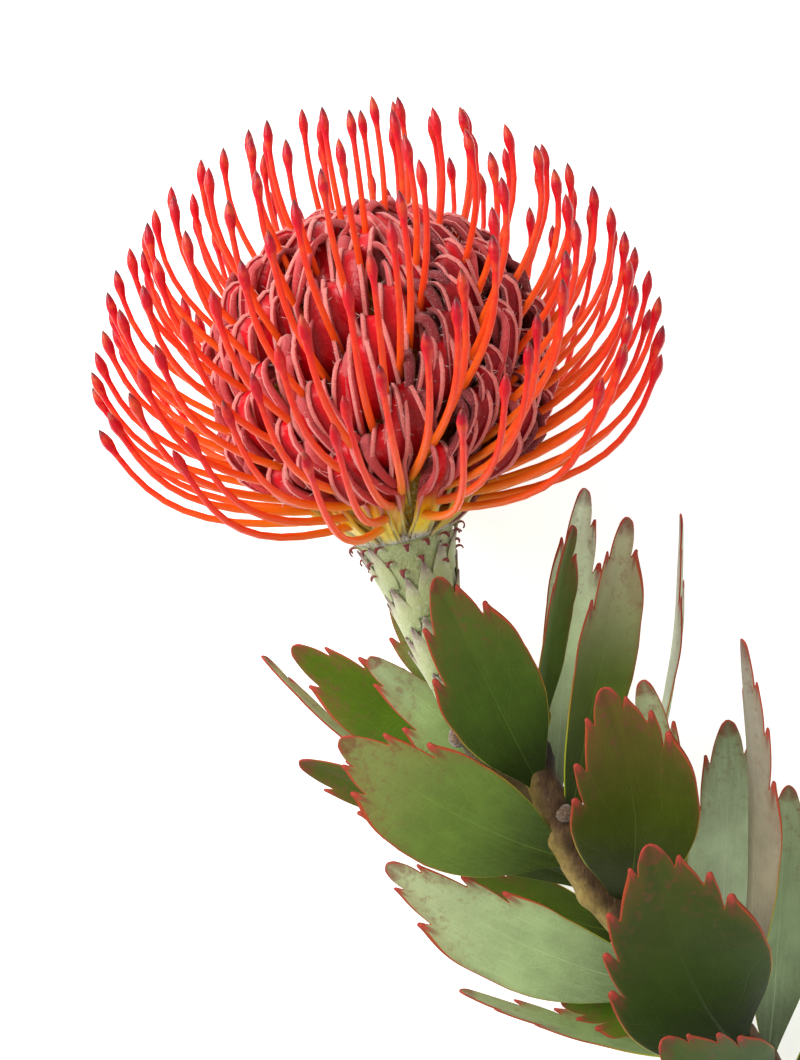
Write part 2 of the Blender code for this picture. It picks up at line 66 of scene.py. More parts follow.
def colour(red, green, blue):
    """A colour as a screen shows it, 0 to 255, on the scale that the shaders use."""
    return tuple(((c / 255 + 0.055) / 1.055) ** 2.4 for c in (red, green, blue)) + (1.0,)


def smooth_path(points, steps):
    """A smooth curve through the points, with some steps to each stretch."""
    padded = [points[0], *points, points[-1]]
    path = []
    for a, b, c, d in zip(padded, padded[1:], padded[2:], padded[3:]):
        for step in range(steps):
            t = step / steps
            path.append(tuple(
                0.5 * (2 * q + (r - p) * t + (2 * p - 5 * q + 4 * r - s) * t ** 2
                       + (3 * q - p - 3 * r + s) * t ** 3)
                for p, q, r, s in zip(a, b, c, d)))
    path.append(tuple(points[-1]))
    return path


def even_stations(points, count):
    """Even steps along a path: the middle, two directions across, and the radius there."""
    lengths = [0.0]
    for low, high in zip(points, points[1:]):
        lengths.append(lengths[-1] + (Vector(high[:3]) - Vector(low[:3])).length)
    rows = []
    place = 0
    for step in range(count + 1):
        wanted = lengths[-1] * step / count
        while place < len(points) - 2 and lengths[place + 1] < wanted:
            place += 1
        share = (wanted - lengths[place]) / (lengths[place + 1] - lengths[place])
        rows.append([a + (b - a) * share for a, b in zip(points[place], points[place + 1])])
    middles = [Vector(row[:3]) for row in rows]
    stations = []
    side = Vector((0.0, 0.0, 1.0)).cross(middles[1] - middles[0])
    for i, row in enumerate(rows):
        ahead = (middles[min(i + 1, count)] - middles[max(i - 1, 0)]).normalized()
        side = (side - ahead * side.dot(ahead)).normalized()
        stations.append((middles[i], side.copy(), ahead.cross(side), row[3]))
    return stations


def station_at(stations, share):
    """The middle, the two directions across and the radius at a share of the length."""
    place = min(max(share, 0.0), 1.0) * (len(stations) - 1)
    i = min(int(place), len(stations) - 2)
    t = place - i
    low, high = stations[i], stations[i + 1]
    return [a.lerp(b, t) for a, b in zip(low[:3], high[:3])] + [
        low[3] + (high[3] - low[3]) * t]


def straight_bar(name, sides, rings):
    """A closed upright bar drawn up ring by ring from a disc: height and radius of each."""
    bpy.ops.object.select_all(action="DESELECT")
    bpy.ops.mesh.primitive_circle_add(
        vertices=sides, radius=rings[0][1], fill_type="NGON", location=(0, 0, 0))
    bar = bpy.context.active_object
    bar.name = name
    bpy.ops.object.mode_set(mode="EDIT")
    for (low, narrow), (high, wide) in zip(rings, rings[1:]):
        bpy.ops.mesh.extrude_region_move(
            TRANSFORM_OT_translate={"value": (0, 0, high - low)})
        bpy.ops.transform.resize(value=(wide / narrow, wide / narrow, 1.0))
    bpy.ops.mesh.select_all(action="SELECT")
    bpy.ops.mesh.normals_make_consistent(inside=False)
    bpy.ops.object.mode_set(mode="OBJECT")
    return bar


def paint(thing, name, values):
    """Keeps one number for each corner of the mesh, for a material to read."""
    layer = thing.data.attributes.get(name)
    if layer is None:
        layer = thing.data.attributes.new(name, "FLOAT", "POINT")
    layer.data.foreach_set("value", values)


def set_down(thing, *skins):
    """Gives a finished shape its skins and its place on the table, in metres, faces smoothed."""
    for skin in skins:
        thing.data.materials.append(skin)
    for corner in thing.data.vertices:
        corner.co = (corner.co + MOVED) * MM
        corner.co.z = max(corner.co.z, 0.0)
    for face in thing.data.polygons:
        face.use_smooth = True


def finish_with(thing, kind, **settings):
    """Puts one modifier on the piece and applies it."""
    bpy.ops.object.select_all(action="DESELECT")
    thing.select_set(True)
    bpy.context.view_layer.objects.active = thing
    modifier = thing.modifiers.new(kind.title(), kind)
    for name, value in settings.items():
        setattr(modifier, name, value)
    bpy.ops.object.modifier_apply(modifier=modifier.name)


def new_material(name, **even_values):
    """A material whose even values are set on its shader; names_like_this are its sockets."""
    material = bpy.data.materials.new(name)
    material.use_nodes = True
    shader = material.node_tree.nodes["Principled BSDF"]
    for socket, value in even_values.items():
        shader.inputs[socket.replace("_", " ")].default_value = value
    return material


def node(material, kind, inputs=(), output=0, **settings):
    """Adds a node, fed by values or by other nodes' outputs, and returns its output."""
    made = material.node_tree.nodes.new("ShaderNode" + kind)
    for name, value in settings.items():
        setattr(made, name, value)
    for key, value in dict(inputs).items():
        if isinstance(value, bpy.types.NodeSocket):
            material.node_tree.links.new(value, made.inputs[key])
        else:
            made.inputs[key].default_value = value
    return made.outputs[output]


def painted(material, name):
    return node(material, "Attribute", attribute_name=name, output="Fac")


def place_on(material, stretch=(1.0, 1.0, 1.0)):
    """The place on the object in millimetres, stretched to draw out a pattern."""
    here = node(material, "TexCoord", output="Object")
    scale = [value / MM for value in stretch]
    return node(material, "Mapping", {"Vector": here, "Scale": scale})


def grain(material, where, scale, detail=3.0, rough=0.55):
    return node(material, "TexNoise", {
        "Vector": where, "Scale": scale, "Detail": detail, "Roughness": rough})


def spots(material, where, scale, feature="F1"):
    return node(
        material, "TexVoronoi", {"Vector": where, "Scale": scale}, feature=feature)


def number(material, operation, first, second):
    return node(material, "Math", {0: first, 1: second}, operation=operation)


def times(material, first, second):
    return number(material, "MULTIPLY", first, second)


def step_up(material, value, start, end):
    """Goes smoothly from 0 at the start to 1 at the end, which may be the lower value."""
    return node(material, "MapRange", {
        "Value": value, "From Min": start, "From Max": end}, interpolation_type="SMOOTHSTEP")


def as_tone(value):
    """Leaves what a node gives as it is, and turns red, green and blue into a colour."""
    return value if isinstance(value, bpy.types.NodeSocket) else colour(*value)


def lay_over(material, tone, other, share, amount=1.0):
    """Lays another colour over a tone by a share, which the amount weakens."""
    if amount < 1.0:
        share = times(material, share, amount)
    return node(material, "Mix", {0: share, 6: as_tone(tone), 7: as_tone(other)},
                output=2, data_type="RGBA")


def colour_run(material, value, *stops):
    """Colours along a value, from stops of place, red, green and blue."""
    made = material.node_tree.nodes.new("ShaderNodeValToRGB")
    material.node_tree.links.new(value, made.inputs[0])
    run = made.color_ramp
    for stop in stops[2:]:
        run.elements.new(stop[0])
    for element, (place, *tone) in zip(run.elements, stops):
        element.position = place
        element.color = colour(*tone)
    return made.outputs[0]


def show(material, socket, value):
    shader = material.node_tree.nodes["Principled BSDF"]
    material.node_tree.links.new(value, shader.inputs[socket])


def relief(material, height, depth_mm):
    """Raises and sinks the surface by a pattern, without moving the mesh."""
    show(material, "Normal", node(material, "Bump", {
        "Height": height, "Distance": depth_mm * MM, "Strength": 1.0}))


WOOD_RINGS = 130
SPLIT_DEPTH = 0.012
KNOB_DEPTH = 0.03
SWELLING = 0.2
SWELLING_REACH = 2.6
LEAF_TURN = 2.4
RAGGED_TOP = 0.02
BARK_THICKNESS = 0.7
CUT_RING_WIDTH = 2.6
CUT_RADIUS = 3.9

wood_stations = even_stations(smooth_path(WOOD, 8), 160)
wood = straight_bar("woody_stem", 30, [(i / WOOD_RINGS, 1.0) for i in range(WOOD_RINGS + 1)])
along_wood = []
painted_light_values = []
for corner in wood.data.vertices:
    height = corner.co.z
    turn = math.atan2(corner.co.y, corner.co.x)
    split = noise.noise(Vector((math.cos(turn) * 3.4, math.sin(turn) * 3.4, height * 9)))
    knobs = noise.noise(Vector((math.cos(turn) * 1.2, math.sin(turn) * 1.2, height * 24)))
    swelling = sum(
        math.exp(-((height * WOOD_LENGTH - foot - 1.0) / SWELLING_REACH) ** 2)
        * max(math.cos(turn - LEAF_TURN * index), 0.0) for index, foot in enumerate(LEAF_FEET))
    reach = 1.0 + SPLIT_DEPTH * split + KNOB_DEPTH * knobs + SWELLING * min(swelling, 1.2)
    if height < RAGGED_TOP:
        reach *= 0.86 + 0.3 * noise.noise(Vector((turn * 2, 3.0, 0.0)))
    along_wood.append(height)
    # Painted light: a share that is highest on one side of the stem, where the bark is painted
    # lighter and olive as if lit.
    painted_light_values.append(0.5 - 0.5 * math.cos(turn - 0.3))
    middle, side, other, radius = station_at(wood_stations, height)
    corner.co = middle + (side * corner.co.x + other * corner.co.y) * (reach * radius)
paint(wood, "along", along_wood)
paint(wood, "painted_light", painted_light_values)

# The cut end is trimmed in two steps, so that it shows bark, wood and pith.
bpy.ops.object.mode_set(mode="EDIT")
bpy.ops.mesh.select_all(action="DESELECT")
bpy.ops.object.mode_set(mode="OBJECT")
end_faces = [face for face in wood.data.polygons if len(face.vertices) > 4]
min(end_faces, key=lambda face: face.center.y).select = True
bpy.ops.object.mode_set(mode="EDIT")
bpy.ops.mesh.select_mode(type="FACE")
bpy.ops.mesh.inset(thickness=BARK_THICKNESS, depth=-0.15)
bpy.ops.mesh.inset(thickness=CUT_RING_WIDTH, depth=0.1)
bpy.ops.object.mode_set(mode="OBJECT")

bark = new_material("bark", Roughness=0.7, Specular_IOR_Level=0.3)
where = place_on(bark)
long_grain = grain(bark, place_on(bark, (1.0, 0.5, 1.0)), 0.55, 7.0, 0.62)
tone = colour_run(bark, long_grain, (0.3, 62, 42, 28), (0.5, 84, 60, 38), (0.7, 104, 78, 50))
olive = colour_run(
    bark, long_grain, (0.3, 134, 110, 54), (0.6, 164, 140, 78), (0.75, 176, 154, 96))
# Painted light: the bark turns lighter and olive on its lit side, with a ragged edge from the
# grain.
painted_light_mask = number(bark, "ADD", painted(bark, "painted_light"),
                times(bark, grain(bark, where, 0.22, 4.0), 0.5))
tone = lay_over(bark, tone, olive, step_up(bark, painted_light_mask, 0.5, 1.0))
flecks = step_up(bark, spots(bark, where, 0.5), 0.16, 0.08)
tone = lay_over(bark, tone, (150, 128, 96), flecks, 0.3)
dead_top = step_up(bark, painted(bark, "along"), 0.06, 0.02)
show(bark, "Base Color", lay_over(bark, tone, (56, 46, 40), dead_top))
fissures = step_up(bark, grain(bark, place_on(bark, (1.0, 0.35, 1.0)), 1.4, 4.0), 0.36, 0.5)
relief(bark, number(bark, "ADD", long_grain, times(bark, fissures, 0.3)), 0.3)

cut_wood = new_material("cut_wood", Roughness=0.7)
rings = grain(cut_wood, place_on(cut_wood), 1.6, 4.0)
show(cut_wood, "Base Color", colour_run(
    cut_wood, rings, (0.3, 196, 178, 122), (0.7, 226, 214, 168)))
relief(cut_wood, rings, 0.2)

for skin in (bark, cut_wood):
    wood.data.materials.append(skin)
cut_centre = wood_stations[-1][0]
for face in wood.data.polygons:
    on_end = face.center.y < cut_centre.y + 0.35
    if on_end and (face.center - cut_centre).length < CUT_RADIUS:
        face.material_index = 1
set_down(wood)
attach(wood, "root")
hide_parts("stem")


# Stalk of the bloom: this year's green shoot, thickening towards the head. It is covered in
# fine grey down and in small pointed scale leaves that lie flat on it, pale green with dry
# brown tips. They grow from it in a spiral.

GOLDEN_ANGLE = math.radians(137.508)
STALK = (
    (1.1, -0.2, 43.3, 10.4), (2.3, -4.8, 42.3, 8.9), (3.8, -9.6, 41.2, 7.8),
    (5.6, -15.5, 40.0, 6.7), (8.0, -24.5, 38.4, 4.9), (10.2, -31.2, 37.2, 3.7),
    (12.6, -38.6, 35.9, 2.9), (16.0, -45.5, 34.6, 2.7), (21.0, -52.0, 32.6, 2.8),
    (30.0, -59.0, 30.6, 3.0),
)
STALK_LENGTH = 69.0
STALK_RINGS = 80
STALK_ROUGHNESS = 0.05
STALK_SCALES = 44
FIRST_SCALE = 3.5
SCALED_LENGTH = 34.0
SCALE_LENGTH = 10.6
SCALE_WIDTH = 5.2
SCALE_THICKNESS = 0.35
SCALE_OUTLINE = (
    (0.0, 0.8), (0.25, 1.0), (0.5, 0.78), (0.72, 0.42), (0.88, 0.2), (1.0, 0.03))


def copy_of(blank, name):
    """A copy with its own mesh, placed in the scene."""
    made = blank.copy()
    made.data = blank.data.copy()
    made.name = name
    bpy.context.scene.collection.objects.link(made)
    return made


def join_all(name, things):
    """Makes one piece of many."""
    bpy.ops.object.select_all(action="DESELECT")
    for thing in things:
        thing.select_set(True)
    bpy.context.view_layer.objects.active = things[0]
    bpy.ops.object.join()
    things[0].name = name
    return things[0]


def flat_blank(name, across, along):
    """A flat sheet, one by one, as a start for a blade, a bract or a petal."""
    bpy.ops.object.select_all(action="DESELECT")
    bpy.ops.mesh.primitive_grid_add(
        x_subdivisions=across, y_subdivisions=along, size=1.0, location=(0, 0, 0))
    blank = bpy.context.active_object
    blank.name = name
    return blank


def key_value(keys, place):
    """The value at a place, read straight between the keys on its two sides."""
    for (low, at_low), (high, at_high) in zip(keys, keys[1:]):
        if place <= high:
            return at_low + (at_high - at_low) * (place - low) / (high - low)
    return keys[-1][1]


def half_golden_turn(index):
    """Even numbers follow the golden angle, and odd ones stand between them."""
    return index / 2 * GOLDEN_ANGLE + math.pi * (index % 2)


stalk_stations = even_stations(smooth_path(STALK, 8), 120)
stalk = straight_bar("bloom_stalk", 28, [(i / STALK_RINGS, 1.0) for i in range(STALK_RINGS + 1)])
paint(stalk, "along", [corner.co.z for corner in stalk.data.vertices])
for corner in stalk.data.vertices:
    height = corner.co.z
    bumps = noise.noise(Vector((corner.co.x * 1.5, corner.co.y * 1.5, height * 20)))
    reach = 1.0 + STALK_ROUGHNESS * bumps
    middle, side, other, radius = station_at(stalk_stations, height)
    corner.co = middle + (side * corner.co.x + other * corner.co.y) * radius * reach

skin = new_material(
    "stalk_skin", Roughness=0.72, Sheen_Weight=0.5, Sheen_Roughness=0.5,
    Specular_IOR_Level=0.3)
down = grain(skin, place_on(skin, (1.0, 0.3, 1.0)), 2.4, 5.0)
tone = colour_run(skin, down, (0.3, 150, 162, 100), (0.55, 178, 188, 130), (0.75, 196, 202, 156))
brown = step_up(skin, painted(skin, "along"), 0.5, 0.72)
tone = lay_over(skin, tone, (112, 92, 54), brown)
brown_spots = step_up(skin, spots(skin, place_on(skin), 0.55), 0.25, 0.1)
show(skin, "Base Color", lay_over(skin, tone, (120, 88, 70), brown_spots, 0.4))
relief(skin, down, 0.35)
set_down(stalk, skin)
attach(stalk, "root")
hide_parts("stem")

scale_blank = flat_blank("scale_blank", 4, 8)
scales = []
draw = random.Random(3)
for index in range(STALK_SCALES):
    share = (FIRST_SCALE + SCALED_LENGTH * index / STALK_SCALES) / STALK_LENGTH
    turn = half_golden_turn(index)
    size = draw.uniform(0.85, 1.15)
    lift = draw.uniform(0.1, 0.9)
    made = copy_of(scale_blank, f"scale_{index}")
    paint(made, "along", [corner.co.y + 0.5 for corner in made.data.vertices])
    for corner in made.data.vertices:
        place = corner.co.y + 0.5
        width = corner.co.x * SCALE_WIDTH * size * key_value(SCALE_OUTLINE, place)
        here = share + (0.45 - place) * SCALE_LENGTH * size / STALK_LENGTH
        middle, side, other, radius = station_at(stalk_stations, here)
        angle = turn + width / radius
        outward = side * math.cos(angle) + other * math.sin(angle)
        keel = 0.3 * (1.0 - abs(corner.co.x) * 2) ** 2
        proud = 0.1 + keel + lift * place ** 2.4
        corner.co = middle + outward * (radius + proud)
    scales.append(made)
bpy.data.objects.remove(scale_blank)
scales = join_all("stalk_scales", scales)
finish_with(scales, "SOLIDIFY", thickness=SCALE_THICKNESS, offset=-1.0)
finish_with(scales, "SUBSURF", levels=1, render_levels=1)

skin = new_material(
    "scale_skin", Roughness=0.66, Sheen_Weight=0.45, Sheen_Roughness=0.5,
    Specular_IOR_Level=0.35)
streaks = grain(skin, place_on(skin), 1.3, 5.0)
tone = colour_run(
    skin, painted(skin, "along"), (0.0, 160, 172, 112), (0.45, 182, 190, 132),
    (0.68, 180, 178, 140), (0.84, 150, 130, 116), (1.0, 96, 66, 66))
show(skin, "Base Color", lay_over(skin, tone, (196, 200, 170), step_up(skin, streaks, 0.5, 0.75)))
relief(skin, streaks, 0.25)
set_down(scales, skin)
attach(scales, "root")
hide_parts("stem")


# Ring of bracts: where the stalk meets the head, rows of small narrow bracts curl outwards.
# They are dark red and dry at the tip, and white hair stands between them.

# Distance of each row from the head, how many bracts it has, and their length.
RING_ROWS = ((1.6, 15, 3.5), (4.0, 11, 3.3), (6.8, 7, 3.2))
RING_WIDTH = 2.0
RING_THICKNESS = 0.3
ring_blank = flat_blank("ring_blank", 2, 8)
ring_bracts = []
draw = random.Random(5)
for row, (distance, count, length) in enumerate(RING_ROWS):
    for index in range(count):
        turn = 2 * math.pi * (index + 0.5 * (row % 2)) / count + draw.uniform(-0.06, 0.06)
        share = (distance + draw.uniform(-0.5, 0.5)) / STALK_LENGTH
        reach = length * draw.uniform(0.8, 1.2)
        curl = draw.uniform(2.6, 3.8)
        made = copy_of(ring_blank, f"ring_bract_{index}")
        paint(made, "along", [corner.co.y + 0.5 for corner in made.data.vertices])
        for corner in made.data.vertices:
            place = corner.co.y + 0.5
            bend = place * curl
            here = share - reach * math.sin(bend) / curl / STALK_LENGTH
            middle, side, other, radius = station_at(stalk_stations, here)
            ahead = side.cross(other)
            middle = middle + ahead * min(here, 0.0) * STALK_LENGTH
            outward = side * math.cos(turn) + other * math.sin(turn)
            out = 0.15 + reach * (1.0 - math.cos(bend)) / curl
            width = corner.co.x * RING_WIDTH * (1.0 - 0.8 * place)
            corner.co = middle + outward * (radius + out) + outward.cross(ahead) * width
        ring_bracts.append(made)
bpy.data.objects.remove(ring_blank)
ring = join_all("ring_bracts", ring_bracts)
finish_with(ring, "SOLIDIFY", thickness=RING_THICKNESS, offset=0.0)

skin = new_material("ring_skin", Roughness=0.55, Sheen_Weight=0.2)
fleck = grain(skin, place_on(skin), 2.2, 4.0)
tone = colour_run(
    skin, painted(skin, "along"), (0.0, 184, 192, 138), (0.26, 184, 176, 136),
    (0.42, 140, 50, 50), (1.0, 108, 18, 28))
show(skin, "Base Color", lay_over(skin, tone, (168, 132, 112), step_up(skin, fleck, 0.55, 0.75)))
relief(skin, fleck, 0.15)
set_down(ring, skin)
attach(ring, "root")
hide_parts("stem")


# Buds: two resting buds sit on the shoots, a big downy one on the stalk and a small one on the
# wood. Each is a tight cone of overlapping scales.

# Name, middle, size and direction.
BUDS = (
    ("stalk_bud", (12.2, -42.6, 38.6), 2.5, (-0.35, 0.8, 0.45)),
    ("wood_bud", (34.6, -59.4, 34.0), 2.0, (0.5, 0.75, 0.4)),
)
BUD_RINGS = (
    (0.0, 0.5), (0.25, 0.9), (0.6, 1.0), (0.95, 0.96), (1.35, 0.74), (1.7, 0.42), (1.9, 0.1))
BUD_MIDDLE = Vector((0.0, 0.0, 0.9))
skin = new_material("bud_skin", Roughness=0.8, Sheen_Weight=0.6, Sheen_Roughness=0.4)
bud_fur = grain(skin, place_on(skin), 2.6, 6.0)
show(skin, "Base Color", colour_run(
    skin, bud_fur, (0.3, 62, 44, 36), (0.5, 104, 78, 58), (0.72, 168, 142, 116)))
relief(skin, bud_fur, 0.5)
for name, place, size, pointing in BUDS:
    bud = straight_bar(name, 16, BUD_RINGS)
    turned = Vector((0.0, 0.0, 1.0)).rotation_difference(Vector(pointing).normalized())
    for corner in bud.data.vertices:
        turn = math.atan2(corner.co.y, corner.co.x)
        scaled = size * (1.0 + 0.1 * math.sin(turn * 3 + corner.co.z * 9))
        corner.co = Vector(place) + turned @ ((corner.co - BUD_MIDDLE) * scaled)
    finish_with(bud, "SUBSURF", levels=2, render_levels=2)
    set_down(bud, skin)
    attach(bud, "root")
    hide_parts("stem")


# Leaves: stiff leathery blades that grow straight from the wood, narrow at the foot and widest
# past the middle. The far end has a few blunt teeth, each with a red gland, and a red rim that
# fades to yellow-green. They are dull waxy green above with fine sunken veins, and greyer below.

# Name, foot (mm down the wood), tip, full width, places of the left and of the right teeth,
# roll at foot and tip, rise and sway of the midrib, cup, then the colours of the face, of its
# tip, and of the underside. The colours differ from leaf to leaf partly as the real leaves do
# and partly as painted light and shade: paler where a leaf caught the light, darker where it
# lay in shade.
LEAVES = (
    ("01", 0.5, (29, -34, 29), 6.5, (0.85,), (0.74,), -30, -30, 0, 0, 1,
     (150, 168, 104), (160, 170, 122), (190, 200, 160)),
    ("02", 5.5, (35.8, 1, 42), 10, (0.79,), (0.9,), 60, 50, 1, -1.6, 1.5,
     (84, 108, 34), (94, 102, 48), (100, 120, 54)),
    ("03", 9.5, (25, -33, 10), 14, (0.8,), (0.74, 0.9), -20, -20, -1, 0, 1.5,
     (150, 172, 124), (156, 164, 124), (176, 192, 156)),
    ("04", 9, (-1.8, -14.5, 20), 19, (0.76, 0.88), (0.7, 0.82), -20, -15, -3, -1, 1.5,
     (104, 128, 52), (126, 124, 70), (150, 172, 130)),
    ("05", 13, (7, -9.4, 57), 21.5, (0.72, 0.88), (0.87, 0.955), 10, 5, 4, -0.5, 2,
     (66, 90, 20), (90, 98, 36), (120, 142, 80)),
    ("06", 16, (-6.8, -27.2, 30), 16, (0.8,), (0.72, 0.92), -155, -150, 2, 0, 1.5,
     (80, 106, 46), (110, 110, 70), (138, 162, 96)),
    # Leaf 07 has very pale colours as painted light, to make up for the shade it lies in.
    ("07", 20, (39.7, 9.1, 25), 15, (0.86,), (0.8, 0.92), 30, 30, -2, -0.5, 1.5,
     (214, 238, 188), (224, 236, 202), (218, 236, 196)),
    ("08", 22, (-23.6, -25.4, 21), 19, (0.9,), (0.82, 0.92), -15, -20, -1, 0, 1.5,
     (70, 98, 0), (80, 96, 6), (140, 160, 96)),
    ("09", 26, (46.4, 2.7, 46), 15, (0.78, 0.91), (0.92,), 30, 30, 2, 0, 2,
     (88, 106, 36), (204, 194, 156), (170, 178, 134)),
    ("10", 26, (-30.5, -27.6, 12.5), 10, (0.73, 0.86), (0.79, 0.92), 75, 75, -2, -7, 1,
     (124, 146, 84), (156, 156, 112), (176, 192, 156)),
    ("11", 33, (-12.4, -42.8, 44), 25.5, (0.88, 0.95), (0.78, 0.91), -15, -10, 4, -2.4, 2,
     (98, 122, 46), (138, 138, 82), (146, 168, 120)),
    ("12", 50, (39.6, -30.8, 62), 26.5, (0.7, 0.82, 0.94), (0.83, 0.9, 0.96), 0, 0, 5, 4.3, 2.5,
     (64, 76, 4), (104, 84, 34), (140, 156, 100)),
    ("13", 41, (61.9, 3.7, 16), 15, (0.8, 0.92), (0.85,), 80, 80, 0, 5.5, 1.5,
     (176, 196, 156), (188, 196, 166), (190, 204, 176)),
    ("14", 43, (-22.8, -52, 7), 18, (0.8, 0.91), (0.76, 0.88), -30, -30, -4.5, 0, 1.5,
     (66, 84, 12), (78, 82, 24), (120, 140, 80)),
    ("15", 60, (50, -31, 42), 15.5, (0.8, 0.91), (0.74, 0.87), -25, -25, 1, 4, 1.5,
     (140, 160, 110), (164, 166, 128), (180, 194, 156)),
    ("16", 59, (15.3, -78, 4), 16, (0.8, 0.91), (0.86,), -15, -15, -2, -2, 1.5,
     (74, 94, 6), (80, 98, 16), (150, 160, 110)),
    ("17", 80, (-3, -71, 30), 21, (0.85, 0.95), (0.71, 0.83, 0.94), -15, -15, 3, -4, 2,
     (158, 180, 122), (178, 182, 140), (180, 196, 156)),
    ("18", 86, (35.3, -103.6, 15), 15, (0.78, 0.9), (0.84,), -10, -10, 0, 0, 1.5,
     (72, 100, 6), (90, 110, 30), (140, 160, 100)),
    ("19", 89, (72.6, -42, 14), 20, (0.76, 0.9), (0.8, 0.92), 12, 12, -3, 1.5, 1.5,
     (188, 206, 164), (84, 98, 50), (160, 178, 136)),
    ("20", 97, (70.8, -22.3, 41), 16, (0.72, 0.83, 0.92), (0.78, 0.89), 104, 100, 4, 3, 2,
     (92, 112, 46), (110, 110, 60), (150, 140, 116)),
    ("21", 103, (48.5, -61.4, 62), 35, (0.66, 0.77, 0.87, 0.96), (0.81, 0.89, 0.955),
     0, 0, 5, -4.5, 2.5,
     (50, 70, 8), (72, 78, 24), (130, 150, 84)),
    ("22", 106, (13.3, -103.4, 7), 12, (0.76, 0.89), (0.7, 0.83), 75, 75, -1, -3, 1,
     (122, 146, 84), (154, 160, 116), (172, 188, 142)),
    ("23", 111, (88.5, -58, 2.5), 19, (0.68, 0.8, 0.91), (0.76, 0.88), 12, 12, -3.5, 1, 1.5,
     (148, 168, 124), (156, 166, 124), (180, 194, 160)),
    ("24", 116, (53, -102.8, 50), 26, (0.82, 0.94), (0.76, 0.86, 0.95), 0, 0, 4, -3, 2,
     (62, 86, 22), (84, 100, 38), (150, 168, 112)),
    ("25", 118, (119, -94, 6), 20, (0.66, 0.79, 0.9), (0.72, 0.86), 20, 20, -1, 0, 1.5,
     (76, 104, 26), (98, 104, 42), (146, 164, 106)),
    ("26", 120, (50, -141, 5), 20, (0.7, 0.84), (0.64, 0.77, 0.9), -20, -20, -1, 0, 1.5,
     (72, 98, 22), (96, 100, 40), (146, 164, 106)),
)
BLADE_OUTLINE = (
    (0.0, 0.13), (0.08, 0.17), (0.2, 0.44), (0.34, 0.77), (0.46, 0.95), (0.55, 1.0),
    (0.65, 0.98), (0.75, 0.9), (0.84, 0.76), (0.9, 0.6), (0.94, 0.42), (0.965, 0.27),
    (0.985, 0.17), (1.0, 0.07),
)
BLADE_COLUMNS = 12
PLAIN_ROWS = 10
TOOTHED_ROWS = 66
TOOTHED_FROM = 0.4
# The rows run forward to the edge, as the side veins do, by this share of the blade's width.
ROW_SWEEP = 0.3
# The end of a tooth, from its outer side round the tip to the notch in front: how far along the
# stretch from notch to notch, and how far back from the tip and inward, in tooth depths.
TOOTH = (
    (0.5, 0.5, 0.0), (0.57, 0.18, -0.02), (0.63, 0.0, 0.06), (0.68, -0.06, 0.24),
    (0.73, -0.02, 0.44), (0.79, 0.18, 0.6), (0.86, 0.6, 0.72), (0.93, 1.05, 0.86),
    (1.0, 1.4, 1.0),
)
FIRST_TOOTH_GAP = 0.2
# How far the edge bows out between two teeth, in mm.
FIRST_BULGE = 0.9
LATER_BULGE = 0.35
TOOTH_DEPTH = 1.1
TOOTH_DEPTH_OF_WIDTH = 0.05
BLADE_TIP_WIDTH = 2.4
END_ROUND_FROM = 0.86
END_ROUNDING = 0.0205
END_GLAND_FROM = 0.945
LEAF_THICKNESS = 0.45
RIM_OF_FACE = (166, 72, 40)
RIM_OF_UNDERSIDE = (170, 80, 68)


def bezier(points, share):
    """A point of the Bezier curve through these control points."""
    points = list(points)
    while len(points) > 1:
        points = [a.lerp(b, share) for a, b in zip(points, points[1:])]
    return points[0]


def blade_edge(place, tips, depth, width, length):
    """Place of the toothed edge, how far out it is, and how near it is to a gland."""
    back = tips[0] - FIRST_TOOTH_GAP
    reach = width / 2 * key_value(BLADE_OUTLINE, min(place, back))
    for tip in tips:
        # Teeth are smaller close to the end, where the blade is narrow.
        size = depth * min(0.5 + 2.5 * (1.0 - tip), 1.0)
        out = width / 2 * key_value(BLADE_OUTLINE, tip)
        size_in = min(size, 0.62 * out)
        front = tip - TOOTH[-1][1] * size / length
        if back < place <= front:
            part = (place - back) / (front - back)
            side = min(part / TOOTH[0][0], 1.0)
            if side < 1.0:
                place = back + (tip - TOOTH[0][1] * size / length - back) * side
                bulge = FIRST_BULGE if tip == tips[0] else LATER_BULGE
                return place, reach + (out - reach) * side + bulge * math.sin(math.pi * side), 0.0
            place = tip - size / length * key_value([row[:2] for row in TOOTH], part)
            inward = key_value([(at, x) for at, y, x in TOOTH], part)
            return place, out - inward * size_in, math.exp(-((part - 0.68) / 0.11) ** 2)
        if place > front:
            back = front
            reach = out - size_in
    if place > back > tips[0] - FIRST_TOOTH_GAP:
        risen = (place - back) / (1.0 - back)
        reach += (BLADE_TIP_WIDTH / 2 - reach) * risen + 0.5 * math.sin(math.pi * risen)
        rounded = max(risen - END_ROUND_FROM, 0.0) ** 2 / END_ROUNDING
        reach *= math.sqrt(max(1.0 - rounded, 0.0))
    return place, reach, min(max((place - END_GLAND_FROM) / 0.05, 0.0), 1.0)


def blade_place(row):
    """The place along the blade of a row, with most rows among the teeth."""
    if row <= PLAIN_ROWS:
        return TOOTHED_FROM * row / PLAIN_ROWS
    return TOOTHED_FROM + (1.0 - TOOTHED_FROM) * (row - PLAIN_ROWS) / TOOTHED_ROWS


